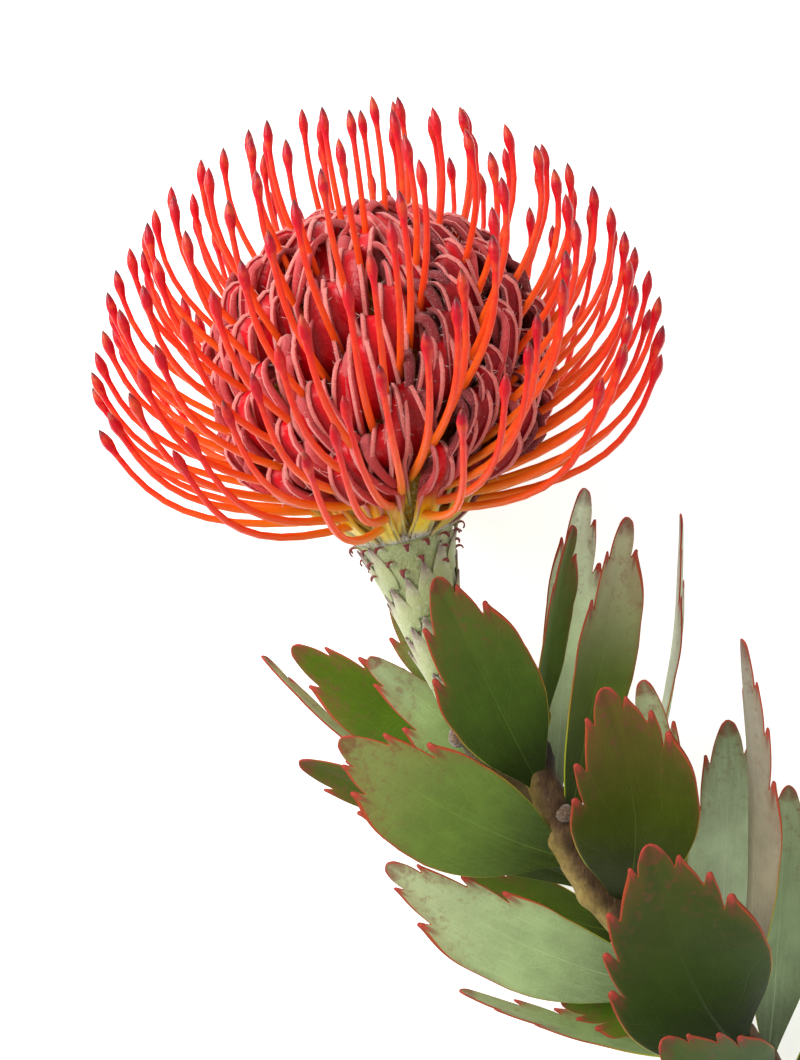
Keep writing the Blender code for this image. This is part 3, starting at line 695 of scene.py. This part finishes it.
def leaf_material(name, face, tip_tone, rim, seed):
    """Waxy leaf skin: soft streaks, faint veins, red rim and glands, blotches at the tip, and
    painted shade towards the foot.
    """
    skin = new_material(name, Roughness=0.52, Specular_IOR_Level=0.16)
    where = node(skin, "VectorMath", {0: place_on(skin), 1: (seed, seed, seed)})
    along, aside, across, edge, gland = [
        painted(skin, layer) for layer in ("along", "aside", "across", "edge", "gland")]
    patches = step_up(skin, grain(skin, where, 0.14, 4.0), 0.35, 0.65)
    tone = lay_over(skin, [c * 0.96 for c in face], [min(c * 1.04 + 1, 255) for c in face],
                    patches)
    # Painted shade: the blade darkens towards its foot, standing in for the shade the leaves cast
    # on each other.
    tone = lay_over(skin, tone, [c * 0.5 for c in face], step_up(skin, along, 0.55, 0.12), 0.8)
    tone = lay_over(skin, tone, tip_tone, step_up(skin, along, 0.5, 1.02), 0.75)
    lanes = node(skin, "CombineXYZ", {
        0: times(skin, across, 1.6), 1: times(skin, along, 7.0), 2: seed})
    streaks = step_up(skin, grain(skin, lanes, 1.0, 5.0, 0.65), 0.42, 0.75)
    tone = lay_over(skin, tone, [min(c * 1.3 + 14, 255) for c in face], streaks, 0.1)

    net = step_up(skin, spots(skin, where, 0.36, "DISTANCE_TO_EDGE"), 0.09, 0.02)
    wander = times(skin, grain(skin, where, 0.12, 2.0), 0.7)
    climb = number(skin, "SUBTRACT", times(skin, along, 4.4), times(skin, aside, 1.9))
    ladder = number(skin, "PINGPONG", number(skin, "ADD", climb, wander), 0.5)
    side_veins = step_up(skin, ladder, 0.035, 0.008)
    middle_vein = times(
        skin, step_up(skin, across, 0.3, 0.06), step_up(skin, along, 0.95, 0.25))
    veins = number(skin, "MAXIMUM", times(skin, net, 0.12),
                   number(skin, "MAXIMUM", times(skin, side_veins, 0.3), middle_vein))
    tone = lay_over(skin, tone, [min(c * 1.35 + 26, 255) for c in face], veins, 0.2)

    rust = step_up(skin, grain(skin, where, 0.42, 5.0, 0.7), 0.5, 0.68)
    rusty_part = times(
        skin, step_up(skin, along, 0.42, 0.95), step_up(skin, edge, 7.0, 0.5))
    tone = lay_over(skin, tone, (122, 62, 54), times(skin, rust, rusty_part), 0.6)
    freckles = step_up(skin, spots(skin, where, 0.9), 0.16, 0.08)
    tone = lay_over(skin, tone, (96, 74, 40), freckles, 0.3)

    red_part = step_up(skin, along, 0.3, 0.64)
    blush = times(skin, step_up(skin, edge, 1.6, 0.1), red_part)
    tone = lay_over(skin, tone, (128, 84, 44), blush, 0.3)
    rim_tone = lay_over(skin, (164, 172, 44), rim, red_part)
    tone = lay_over(skin, tone, rim_tone, step_up(skin, edge, 0.15, 0.03))
    halo = times(skin, step_up(skin, gland, 0.05, 0.6), step_up(skin, edge, 3.4, 0.5))
    tone = lay_over(skin, tone, (116, 58, 44), halo, 0.6)
    cap = times(skin, step_up(skin, gland, 0.35, 0.9), step_up(skin, edge, 0.65, 0.1))
    show(skin, "Base Color", lay_over(skin, tone, (176, 66, 52), cap, 0.9))
    pores = times(skin, grain(skin, where, 2.6), 0.4)
    relief(skin, number(skin, "SUBTRACT", pores, times(skin, veins, 0.8)), 0.14)
    return skin


blade_blank = flat_blank("blade_blank", BLADE_COLUMNS, PLAIN_ROWS + TOOTHED_ROWS)
draw = random.Random(11)
for (name, distance, tip, width, left, right, foot_roll, tip_roll, rise, sway, cup,
     face_colour, tip_colour, under_colour) in LEAVES:
    foot = station_at(wood_stations, distance / WOOD_LENGTH)[0]
    tip = Vector(tip)
    chord = tip - foot
    beside = chord.cross(Vector((0.0, 0.0, 1.0))).normalized()
    over = beside.cross(chord).normalized()
    spine = (foot, foot.lerp(tip, 0.45) + over * 2 * rise + beside * 2 * sway, tip)
    depth = TOOTH_DEPTH + TOOTH_DEPTH_OF_WIDTH * width
    wave = draw.uniform(0.0, 50.0)
    blade = copy_of(blade_blank, "blade_" + name)
    kept = {"along": [], "aside": [], "across": [], "edge": [], "gland": []}
    for corner in blade.data.vertices:
        side = corner.co.x * 2
        u = math.copysign(abs(side) ** 0.75, side)
        row = blade_place(round((corner.co.y + 0.5) * (PLAIN_ROWS + TOOTHED_ROWS)))
        sweep = ROW_SWEEP * width / chord.length * 4 * row * (1.0 - row)
        edge_place, half, gland = blade_edge(
            row + sweep, left if u < 0 else right, depth, width, chord.length)
        outer = abs(u) ** 24
        place = row + sweep * u * u + outer * (edge_place - row - sweep)
        middle = bezier(spine, place)
        ahead = (bezier(spine, place + 0.01) - bezier(spine, place - 0.01)).normalized()
        level = ahead.cross(Vector((0.0, 0.0, 1.0))).normalized()
        upward = level.cross(ahead)
        roll = math.radians(foot_roll + (tip_roll - foot_roll) * place)
        normal = upward * math.cos(roll) + level * math.sin(roll)
        across = level * math.cos(roll) - upward * math.sin(roll)
        reach = half * u
        lift = cup * (2 * reach / width) ** 2
        lift += 0.5 * noise.noise(Vector((reach * 0.12, place * 5, wave)))
        lift -= 0.3 * math.exp(-(reach / 0.9) ** 2)
        corner.co = middle + across * reach + normal * lift
        kept["along"].append(place)
        kept["aside"].append(abs(u))
        kept["across"].append(abs(reach))
        kept["edge"].append((1.0 - abs(u)) * half)
        kept["gland"].append(gland * (1.0 if row > END_GLAND_FROM else outer))
    for layer, values in kept.items():
        paint(blade, layer, values)
    blade.data.materials.append(leaf_material(
        "face_" + name, face_colour, tip_colour, RIM_OF_FACE, wave))
    blade.data.materials.append(leaf_material(
        "under_" + name, under_colour, [c * 0.5 + 84 for c in under_colour],
        RIM_OF_UNDERSIDE, wave + 7))
    finish_with(blade, "SOLIDIFY", thickness=LEAF_THICKNESS, offset=0.0, material_offset=1)
    finish_with(blade, "SUBSURF", levels=1, render_levels=1)
    set_down(blade)
    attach(blade, "root")
    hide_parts("leaf_" + name)
bpy.data.objects.remove(blade_blank)


# Cushion: the domed end of the stalk that all florets grow from, hidden deep between the petal
# tubes. Only glimpses of it show, so it is a rough body of fluff: yellow at its foot, and brown
# and olive higher up, where the darker brown is painted shade deep between the tubes.

HEAD_FOOT = (0.9, -0.8, 43.2)
HEAD_AXIS = (-0.143, 0.955, 0.259)
GLOBE_RADIUS = 34.0
GLOBE_HEIGHT = 33.0
CUSHION_ROUGHNESS = 0.09
CUSHION_RINGS = (
    (0.0, 8.5), (2.0, 9.8), (6.0, 11.5), (11.0, 16.0), (18.0, 22.0), (26.0, 26.3),
    (33.0, 27.8), (40.0, 27.0), (47.0, 23.8), (53.0, 18.6), (58.0, 10.5), (60.5, 0.8),
)

head_along = Vector(HEAD_AXIS).normalized()
head_across = head_along.cross(Vector((0.0, 0.0, 1.0))).normalized()
head_up = head_along.cross(head_across)


def head_point(radius, height, turn):
    """A place in the head: distance from its axis, height over its foot, turn round it."""
    outward = head_across * math.cos(turn) + head_up * math.sin(turn)
    return Vector(HEAD_FOOT) + outward * radius + head_along * height


def head_direction(polar, turn):
    """The direction at this angle from the head's axis, turned this far round it."""
    return head_point(math.sin(polar), math.cos(polar), turn) - Vector(HEAD_FOOT)


cushion = straight_bar("cushion", 40, CUSHION_RINGS)
finish_with(cushion, "SUBSURF", levels=1, render_levels=1)
paint(cushion, "height", [corner.co.z for corner in cushion.data.vertices])
for corner in cushion.data.vertices:
    rough = 1.0 + CUSHION_ROUGHNESS * noise.noise(corner.co * 0.35)
    corner.co = (Vector(HEAD_FOOT) + head_along * corner.co.z
                 + (head_across * corner.co.x + head_up * corner.co.y) * rough)
skin = new_material("cushion_fluff", Roughness=0.9, Specular_IOR_Level=0.1)
fluff = grain(skin, place_on(skin), 0.7, 5.0, 0.6)
# Painted shade: higher up, deep between the tubes, the fluff is painted darker brown; at the foot
# it is yellow.
painted_shade_tone = colour_run(skin, fluff, (0.32, 110, 50, 12), (0.5, 158, 86, 16), (0.68, 190, 130, 32))
foot_tone = colour_run(
    skin, fluff, (0.32, 196, 146, 30), (0.5, 226, 184, 60), (0.68, 246, 232, 170))
show(skin, "Base Color", lay_over(
    skin, painted_shade_tone, foot_tone, step_up(skin, painted(skin, "height"), 22.0, 9.0)))
relief(skin, fluff, 1.2)
set_down(cushion, skin)
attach(cushion, "root")
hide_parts("flower_head")


# Petal tubes: each floret's four petals are joined to one tube, which splits down its outer
# side and lets the style go. What is left stands as a channel, shiny deep red inside and downy
# mauve outside with a pale rim. It climbs the globe towards the top and rolls in at its end.

FLORETS = 168
RECEPTACLE_RADIUS = 11.0
RECEPTACLE_HALF_HEIGHT = 14.0
RECEPTACLE_HEIGHT = 16.0
LOWEST_ROOT_ANGLE = 142.0
LOWEST_TUBE_ANGLE = 123.0
# How far up the globe and how deep in it a tube runs, once it has left the cushion.
TUBE_ROUTE = (
    (0.0, 5.0), (3.2, 3.4), (6.4, 1.8), (9.2, 0.5), (11.4, -0.3), (13.2, 0.2), (14.3, 1.7),
    (14.3, 3.6), (13.0, 5.1), (11.2, 5.5),
)
TUBE_ROWS = 26
TUBE_COLUMNS = 6
TUBE_STEPS = 120
TUBE_MIDDLE = 7.5
TUBE_WIDTH = 5.0
TUBE_DEPTH = 1.8
TUBE_WALL = 0.86
# How much tubes differ: in length, in depth in the globe, in slant, in twist and in width.
TUBE_STRETCH = (0.9, 1.18)
TUBE_SUNK = (-0.6, 1.2)
TUBE_SLANT = (-0.35, 0.35)
TUBE_TWIST = (-0.7, 0.7)
TUBE_BREADTH = (0.88, 1.08)
# Width and depth of the channel along it, from the root to the rolled end.
TUBE_SPREAD = (
    (0.0, 0.8), (0.2, 0.86), (0.42, 0.94), (0.55, 1.0), (0.68, 0.98), (0.76, 0.84),
    (0.84, 0.62), (0.92, 0.46), (1.0, 0.3))
TUBE_HOLLOW = (
    (0.0, 0.15), (0.3, 0.45), (0.5, 1.0), (0.65, 1.0), (0.76, 0.75), (0.86, 0.45), (1.0, 0.25))
TUBE_SECTION = (
    (-0.92, 1.0), (-1.0, 0.55), (-0.72, 0.08), (0.0, -0.12), (0.72, 0.08), (1.0, 0.55),
    (0.92, 1.0))
# The fourth petal comes loose as a narrow strip in or beside the channel, with a round lobe.
STRIP_ASIDE = (0.4, 2.9, 3.2, 3.5)
STRIP_WIDTH = 1.7
STRIP_DEPTH = 1.2
STRIP_WALL = 0.6
STRIPS_LOST = 0.4
STRIP_PROUD = 0.6
STRIP_SPREAD = (
    (0.0, 0.5), (0.4, 0.8), (0.74, 0.8), (0.84, 1.1), (0.91, 1.3), (0.96, 1.05), (1.0, 0.4))
STRIP_SECTION = (
    (-1.0, -0.5), (-0.86, -0.05), (-0.5, 0.3), (0.0, 0.45), (0.5, 0.3), (0.86, -0.05),
    (1.0, -0.5))


def even_angle(share, lowest):
    """The angle from the head's axis that parts off this share of the dome's surface."""
    return math.acos(1.0 - (1.0 - math.cos(math.radians(lowest))) * share)


def floret_share(index):
    return (index / 2 + 0.5) / (FLORETS / 2)


def floret_root(share, turn):
    angle = even_angle(min(share, 1.0), LOWEST_ROOT_ANGLE)
    return head_point(
        RECEPTACLE_RADIUS * math.sin(angle),
        RECEPTACLE_HEIGHT + RECEPTACLE_HALF_HEIGHT * math.cos(angle), turn)


def globe_point(polar, turn, depth):
    return head_point(0.0, GLOBE_HEIGHT, 0.0) + head_direction(polar, turn) * (
        GLOBE_RADIUS - depth)


def tube_root(share, turn):
    """The lowest tubes stand further out, on the very rim of the cushion."""
    outermost = max(share - 0.6, 0.0) / 0.4
    out = floret_root(share, turn)
    rim = head_point(9.6, 1.0, turn)
    return out.lerp(rim, outermost)


def row_share(row):
    """Where a row is along a petal: the rows stand closer towards the rolled end."""
    return 1.0 - (1.0 - row / TUBE_ROWS) ** 1.4


def petal_route(share, turn, stretch, sunk, veer, aside):
    """Points from the root of a petal to its rolled end, and the direction across it."""
    polar = even_angle(share, LOWEST_TUBE_ANGLE)
    outward = head_direction(polar, turn)
    beside = outward.cross(head_direction(polar + math.pi / 2, turn))
    route = [tube_root(share, turn)]
    for climbed, depth in TUBE_ROUTE:
        climbed *= stretch
        place = globe_point(
            polar - (climbed - TUBE_MIDDLE) / GLOBE_RADIUS, turn, depth + sunk)
        route.append(
            place + beside * (math.tan(veer) * (climbed - TUBE_MIDDLE) + aside))
    route.insert(1, route[0].lerp(route[1], 0.55) - head_along * 1.5)
    even = even_stations(smooth_path([(*place, 0.0) for place in route], 5), TUBE_STEPS)
    return [even[round(TUBE_STEPS * row_share(row))][0] for row in range(TUBE_ROWS + 1)], beside


def form_petal(petal, route, beside, twist, half_width, depth, spread, hollow, section):
    """Shapes a flat blank along its route, and keeps how far it has grown at each corner."""
    grown = [0.0]
    for low, high in zip(route, route[1:]):
        grown.append(grown[-1] + (high - low).length)
    kept = {"grown": [], "along": [], "aside": []}
    for corner in petal.data.vertices:
        column = round((corner.co.x + 0.5) * TUBE_COLUMNS)
        row = round((corner.co.y + 0.5) * TUBE_ROWS)
        place = row_share(row)
        ahead = (route[min(row + 1, TUBE_ROWS)] - route[max(row - 1, 0)]).normalized()
        outer = beside.cross(ahead).normalized()
        lean = twist * (place - 0.3)
        wide = beside * math.cos(lean) + outer * math.sin(lean)
        deep = outer * math.cos(lean) - beside * math.sin(lean)
        x, y = section[column]
        corner.co = (route[row] + wide * x * half_width * key_value(spread, place)
                     + deep * y * depth * key_value(hollow, place))
        kept["grown"].append(grown[row] / 30.0)
        kept["along"].append(place)
        kept["aside"].append(abs(x))
    for layer, values in kept.items():
        paint(petal, layer, values)


tube_blank = flat_blank("tube_blank", TUBE_COLUMNS, TUBE_ROWS)
tubes = []
strips = []
draw = random.Random(21)
for index in range(FLORETS):
    share = min(floret_share(index), 1.0)
    turn = half_golden_turn(index)
    stretch = draw.uniform(*TUBE_STRETCH)
    sunk = draw.uniform(*TUBE_SUNK)
    veer = draw.uniform(*TUBE_SLANT)
    twist = draw.uniform(*TUBE_TWIST)
    broad = draw.uniform(*TUBE_BREADTH)
    # Painted shade: florets on one side of the head get a darker tint, standing in for the shade
    # on that side; the rest of the tint is random.
    painted_shade_side = head_direction(even_angle(share, LOWEST_TUBE_ANGLE), turn).x
    tint = min(max(draw.random() + 0.4 * painted_shade_side, 0.0), 1.0)
    route, beside = petal_route(share, turn, stretch, sunk, veer, 0.0)
    tube = copy_of(tube_blank, f"tube_{index}")
    form_petal(tube, route, beside, twist, TUBE_WIDTH / 2 * broad, TUBE_DEPTH,
               TUBE_SPREAD, TUBE_HOLLOW, TUBE_SECTION)
    paint(tube, "tint", [tint] * len(tube.data.vertices))
    tubes.append(tube)
    if draw.random() < STRIPS_LOST:
        continue
    hand = draw.choice((-1.0, 1.0))
    route, beside = petal_route(
        share, turn, stretch * draw.uniform(0.7, 1.1), sunk - draw.uniform(0.0, STRIP_PROUD),
        veer + hand * draw.uniform(0.0, 0.2), hand * draw.choice(STRIP_ASIDE))
    strip = copy_of(tube_blank, f"strip_{index}")
    form_petal(strip, route, beside, draw.uniform(-0.8, 0.8), STRIP_WIDTH / 2, STRIP_DEPTH,
               STRIP_SPREAD, STRIP_SPREAD, STRIP_SECTION)
    paint(strip, "tint", [tint] * len(strip.data.vertices))
    strips.append(strip)
bpy.data.objects.remove(tube_blank)
tubes = join_all("petal_tubes", tubes)
strips = join_all("petal_strips", strips)

tube_red = new_material("tube_red", Roughness=0.3, Specular_IOR_Level=0.3)
grown = painted(tube_red, "grown")
sheen_grain = grain(tube_red, place_on(tube_red), 0.9)
tone = colour_run(
    tube_red, grown, (0.0, 250, 238, 170), (0.14, 250, 220, 66), (0.42, 244, 188, 24),
    (0.54, 196, 48, 12), (0.64, 206, 2, 18), (1.0, 214, 4, 24))
# The tint darkens the red, partly at random and partly as painted shade on one side of the head.
tone = lay_over(
    tube_red, tone, (138, 0, 12), step_up(tube_red, painted(tube_red, "tint"), 0.2, 1.0))
# The sides of the channel turn a darker mauve-red: partly the real mauve fuzz near the rims,
# partly painted shade that makes the channel look deeper.
sides = times(tube_red, step_up(tube_red, painted(tube_red, "aside"), 0.3, 0.85),
              step_up(tube_red, grown, 0.45, 0.6))
tone = lay_over(tube_red, tone, (150, 34, 44), sides, 0.75)
streak = step_up(tube_red, sheen_grain, 0.5, 0.72)
show(tube_red, "Base Color", lay_over(tube_red, tone, (222, 44, 40), streak, 0.35))
relief(tube_red, sheen_grain, 0.25)

tube_down = new_material(
    "tube_down", Roughness=0.85, Specular_IOR_Level=0.15, Sheen_Weight=0.22,
    Sheen_Roughness=0.45, Sheen_Tint=colour(236, 206, 200))
fuzz = grain(tube_down, place_on(tube_down), 3.4, 5.0, 0.65)
tone = colour_run(
    tube_down, painted(tube_down, "grown"), (0.0, 250, 242, 196), (0.14, 248, 222, 84),
    (0.42, 242, 192, 40), (0.56, 222, 96, 60), (0.68, 226, 62, 60), (1.0, 218, 66, 70))
grey_end = step_up(tube_down, painted(tube_down, "along"), 0.6, 1.0)
tone = lay_over(tube_down, tone, (186, 128, 126), grey_end, 0.5)
# The tint darkens the down, partly at random and partly as painted shade on one side of the head.
tone = lay_over(
    tube_down, tone, (128, 48, 52), step_up(tube_down, painted(tube_down, "tint"), 0.35, 1.0))
show(tube_down, "Base Color", lay_over(
    tube_down, tone, (234, 190, 186), step_up(tube_down, fuzz, 0.5, 0.72), 0.42))
relief(tube_down, fuzz, 0.3)

tube_rim = new_material(
    "tube_rim", Roughness=0.8, Specular_IOR_Level=0.2, Sheen_Weight=0.3,
    Sheen_Roughness=0.4)
rim_hair = grain(tube_rim, place_on(tube_rim), 4.0)
tone = colour_run(tube_rim, rim_hair, (0.35, 226, 104, 98), (0.62, 242, 160, 150))
rim_foot = step_up(tube_rim, painted(tube_rim, "grown"), 0.5, 0.36)
show(tube_rim, "Base Color", lay_over(tube_rim, tone, (218, 196, 110), rim_foot))
relief(tube_rim, rim_hair, 0.3)

for skin in (tube_red, tube_down, tube_rim):
    tubes.data.materials.append(skin)
finish_with(tubes, "SOLIDIFY", thickness=TUBE_WALL, offset=0.0, material_offset=1,
            material_offset_rim=2)
strips.data.materials.append(tube_down)
finish_with(strips, "SOLIDIFY", thickness=STRIP_WALL, offset=0.0)
for petals in (tubes, strips):
    set_down(petals)
    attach(petals, "root")
    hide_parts("flower_head")


# Styles: the pins of the pincushion, one from each floret. Each is a smooth stiff wire that
# bows out and then in, yellow at its root, orange along its length and crimson at the end,
# where it swells to a spear-shaped pollen presenter with a dry brown point.

TIP_GLOBE_RADIUS = 58.0
TIP_GLOBE_HEIGHT = 30.0
LOWEST_TIP_ANGLE = 88.0
ROOT_PULL = 0.66
TIP_PULL = 0.3
TIP_LEAN = ((0.0, 0.0), (14.0, -6.0), (32.0, -10.0), (55.0, 0.0), (73.0, 12.0), (88.0, 24.0))
MOST_SWAY = 3.0
STYLE_CLEAR = 0.7
RUN_OUT = 1.2
STYLE_STEPS = 24
PRESENTER_LENGTH = 6.4
PRESENTER_FROM = 0.9
# Height and radius of the rings of a style, the last tenth of it the presenter.
STYLE_RINGS = (
    (0.0, 1.05), (0.12, 0.98), (0.24, 0.92), (0.35, 0.86), (0.45, 0.8), (0.54, 0.75),
    (0.62, 0.71), (0.69, 0.68), (0.76, 0.65), (0.83, 0.62), (0.9, 0.6), (0.918, 0.72),
    (0.936, 1.0), (0.952, 1.12), (0.97, 0.92), (0.986, 0.56), (1.0, 0.06),
)


def rest_on_floor(height):
    """Lifts what would pass through the table, with a smooth run-out along it."""
    over = height - STYLE_CLEAR
    if over >= RUN_OUT:
        return height
    if over <= -RUN_OUT:
        return STYLE_CLEAR
    return STYLE_CLEAR + (over + RUN_OUT) ** 2 / (4 * RUN_OUT)


def style_path(share, turn, sway):
    """The middle line of one style, from its root in the cushion to its tip."""
    root = floret_root(share, turn)
    tip_angle = even_angle(min(share, 1.0), LOWEST_TIP_ANGLE)
    tip = head_point(
        TIP_GLOBE_RADIUS * math.sin(tip_angle),
        TIP_GLOBE_HEIGHT + TIP_GLOBE_RADIUS * math.cos(tip_angle), turn + sway)
    lean = math.radians(key_value(TIP_LEAN, math.degrees(tip_angle)))
    leaving = head_direction(tip_angle, turn)
    arriving = head_direction(lean, turn + sway)
    chord = (tip - root).length
    controls = (
        root, root + leaving * chord * ROOT_PULL, tip - arriving * chord * TIP_PULL, tip)
    path = []
    for step in range(STYLE_STEPS + 1):
        point = bezier(controls, step / STYLE_STEPS)
        point.z = rest_on_floor(point.z)
        path.append((*point, 1.0))
    return path


style_blank = straight_bar("style_blank", 6, STYLE_RINGS)
styles = []
same_draw = random.Random(7)
new_draw = random.Random(31)
for index in range(FLORETS):
    draw = new_draw if index % 2 else same_draw
    sway = math.radians(draw.uniform(-MOST_SWAY, MOST_SWAY))
    path = style_path(floret_share(index), half_golden_turn(index), sway)
    stations = even_stations(path, 28)
    length = sum((Vector(b[:3]) - Vector(a[:3])).length for a, b in zip(path, path[1:]))
    neck = 1.0 - PRESENTER_LENGTH / length
    made = copy_of(style_blank, f"style_{index}")
    tint = new_draw.random()
    paint(made, "along", [corner.co.z for corner in made.data.vertices])
    paint(made, "tint", [tint] * len(made.data.vertices))
    for corner in made.data.vertices:
        height = corner.co.z
        if height > PRESENTER_FROM:
            share = neck + (1.0 - neck) * (height - PRESENTER_FROM) / (1.0 - PRESENTER_FROM)
        else:
            share = neck * height / PRESENTER_FROM
        middle, side, other, radius = station_at(stations, share)
        corner.co = middle + side * corner.co.x + other * corner.co.y
    styles.append(made)
bpy.data.objects.remove(style_blank)
styles = join_all("styles", styles)

skin = new_material(
    "style_skin", Roughness=0.34, Specular_IOR_Level=0.32, Subsurface_Weight=0.25,
    Subsurface_Radius=(1.0, 0.3, 0.1), Subsurface_Scale=0.002)
tone = colour_run(
    skin, painted(skin, "along"), (0.0, 244, 196, 60), (0.22, 252, 150, 20),
    (0.42, 254, 114, 18), (0.66, 254, 78, 26), (0.85, 248, 56, 34), (0.92, 212, 6, 34),
    (0.966, 184, 0, 30), (0.982, 150, 8, 36), (0.992, 104, 34, 40), (1.0, 74, 48, 34))
mottle = step_up(skin, grain(skin, place_on(skin), 0.35), 0.45, 0.7)
tone = lay_over(skin, tone, (255, 120, 40), mottle, 0.3)
deep = step_up(skin, painted(skin, "tint"), 0.4, 1.0)
show(skin, "Base Color", lay_over(skin, tone, (226, 24, 20), deep, 0.35))
relief(skin, grain(skin, place_on(skin), 1.6), 0.12)
set_down(styles, skin)
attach(styles, "root")
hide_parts("flower_head")


# Hair: fine straight white hair stands on the foot of the head, between the ring of bracts and
# the lowest petal tubes, and shorter and softer on the backs of the rolled petal ends.

HAIRS = 600
HAIR_ZONE = (-3.2, 0.2)
HAIR_LENGTH = (1.6, 3.6)
HAIR_RADIUS = 0.055
SOFT_HAIRS = 2000
SOFT_HAIR_LENGTH = (0.6, 1.7)
SOFT_HAIR_RADIUS = 0.04
hair_blank = straight_bar("hair_blank", 3, ((0.0, 1.0), (0.5, 0.8), (1.0, 0.2)))


def grow_hair(foot, pointing, length, radius):
    """One straight hair from its foot."""
    turned = Vector((0.0, 0.0, 1.0)).rotation_difference(pointing)
    made = copy_of(hair_blank, "hair")
    for corner in made.data.vertices:
        shape = Vector((corner.co.x * radius, corner.co.y * radius, corner.co.z * length))
        corner.co = foot + turned @ shape
    return made


hairs = []
draw = random.Random(41)
for index in range(HAIRS):
    distance = draw.uniform(*HAIR_ZONE)
    turn = draw.uniform(0.0, 2 * math.pi)
    middle, side, other, radius = station_at(stalk_stations, distance / STALK_LENGTH)
    outward = side * math.cos(turn) + other * math.sin(turn)
    ahead = side.cross(other)
    pointing = (outward * draw.uniform(0.3, 0.9) - ahead * draw.uniform(0.3, 1.1)
                + outward.cross(ahead) * draw.uniform(-0.5, 0.5)).normalized()
    length = draw.uniform(*HAIR_LENGTH)
    hairs.append(grow_hair(middle + outward * radius, pointing, length, HAIR_RADIUS))
hairs = join_all("white_hair", hairs)

globe_middle = head_point(0.0, GLOBE_HEIGHT, 0.0)
along_tubes = tubes.data.attributes["along"].data
rolled = []
for face in tubes.data.polygons:
    foot = face.center / MM - MOVED
    outward = (foot - globe_middle).normalized()
    downy = face.material_index > 0 and along_tubes[face.vertices[0]].value > 0.5
    if downy and face.normal.dot(outward) > 0.0:
        rolled.append((foot, face.normal + outward * 0.4))
soft_hairs = []
for foot, pointing in draw.choices(rolled, k=SOFT_HAIRS):
    aside = Vector([draw.uniform(-0.6, 0.6) for axis in range(3)])
    length = draw.uniform(*SOFT_HAIR_LENGTH)
    soft_hairs.append(
        grow_hair(foot, (pointing + aside).normalized(), length, SOFT_HAIR_RADIUS))
bpy.data.objects.remove(hair_blank)
soft_hairs = join_all("soft_hair", soft_hairs)
# The hair glows faintly: painted light, standing in for light that passes through fine hair.
skin = new_material(
    "hair_skin", Roughness=0.6, Emission_Color=(1.0, 0.98, 0.94, 1.0), Emission_Strength=0.08)
silk = grain(skin, place_on(skin), 1.0, 2.0)
show(skin, "Base Color", colour_run(
    skin, silk, (0.35, 230, 222, 204), (0.65, 252, 250, 244)))
for coat, grown_on in ((hairs, "stem"), (soft_hairs, "flower_head")):
    set_down(coat, skin)
    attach(coat, "root")
    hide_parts(grown_on)


# Table and light: a plain white table top, a bright even room, and one broad soft lamp over the
# far left of the table, with a weak one opposite. The camera looks straight down.

bpy.ops.object.select_all(action="DESELECT")
bpy.ops.mesh.primitive_plane_add(size=4.0, location=(0.0, 0.0, 0.0))
table = bpy.context.active_object
table.name = "table_top"
skin = new_material(
    "table_paint", Roughness=0.9, Specular_IOR_Level=0.1,
    Emission_Color=(1.0, 1.0, 1.0, 1.0), Emission_Strength=0.6)
table_tone = grain(skin, place_on(skin), 0.02, 2.0)
show(skin, "Base Color", colour_run(
    skin, table_tone, (0.3, 247, 247, 247), (0.7, 250.5, 250.5, 250.5)))
table.data.materials.append(skin)

# Name, place, width in metres and power in watts.
LAMPS = (
    ("key_lamp", (-0.52, 0.3, 0.5), 0.5, 6.2),
    ("fill_lamp", (0.5, -0.25, 0.6), 0.7, 0.3),
)
for name, place, size, power in LAMPS:
    lamp = bpy.data.lights.new(name, "AREA")
    lamp.shape = "SQUARE"
    lamp.size = size
    lamp.energy = power
    holder = bpy.data.objects.new(name, lamp)
    holder.location = place
    aim = Vector((0.0, 0.03, 0.04)) - Vector(place)
    holder.rotation_euler = aim.to_track_quat("-Z", "Y").to_euler()
    bpy.context.scene.collection.objects.link(holder)

world = bpy.data.worlds.new("room")
world.use_nodes = True
sky = world.node_tree.nodes["Background"].inputs
sky["Color"].default_value = (1.0, 1.0, 1.0, 1.0)
sky["Strength"].default_value = 0.6
bpy.context.scene.world = world
bpy.context.scene.view_settings.view_transform = "Standard"

camera = bpy.data.objects.new("camera", bpy.data.cameras.new("camera"))
camera.data.lens = 62.83
camera.data.sensor_width = 36.0
camera.data.clip_start = 0.02
camera.location = (-0.0305, 0.0330, 0.423)
bpy.context.scene.collection.objects.link(camera)
bpy.context.scene.camera = camera
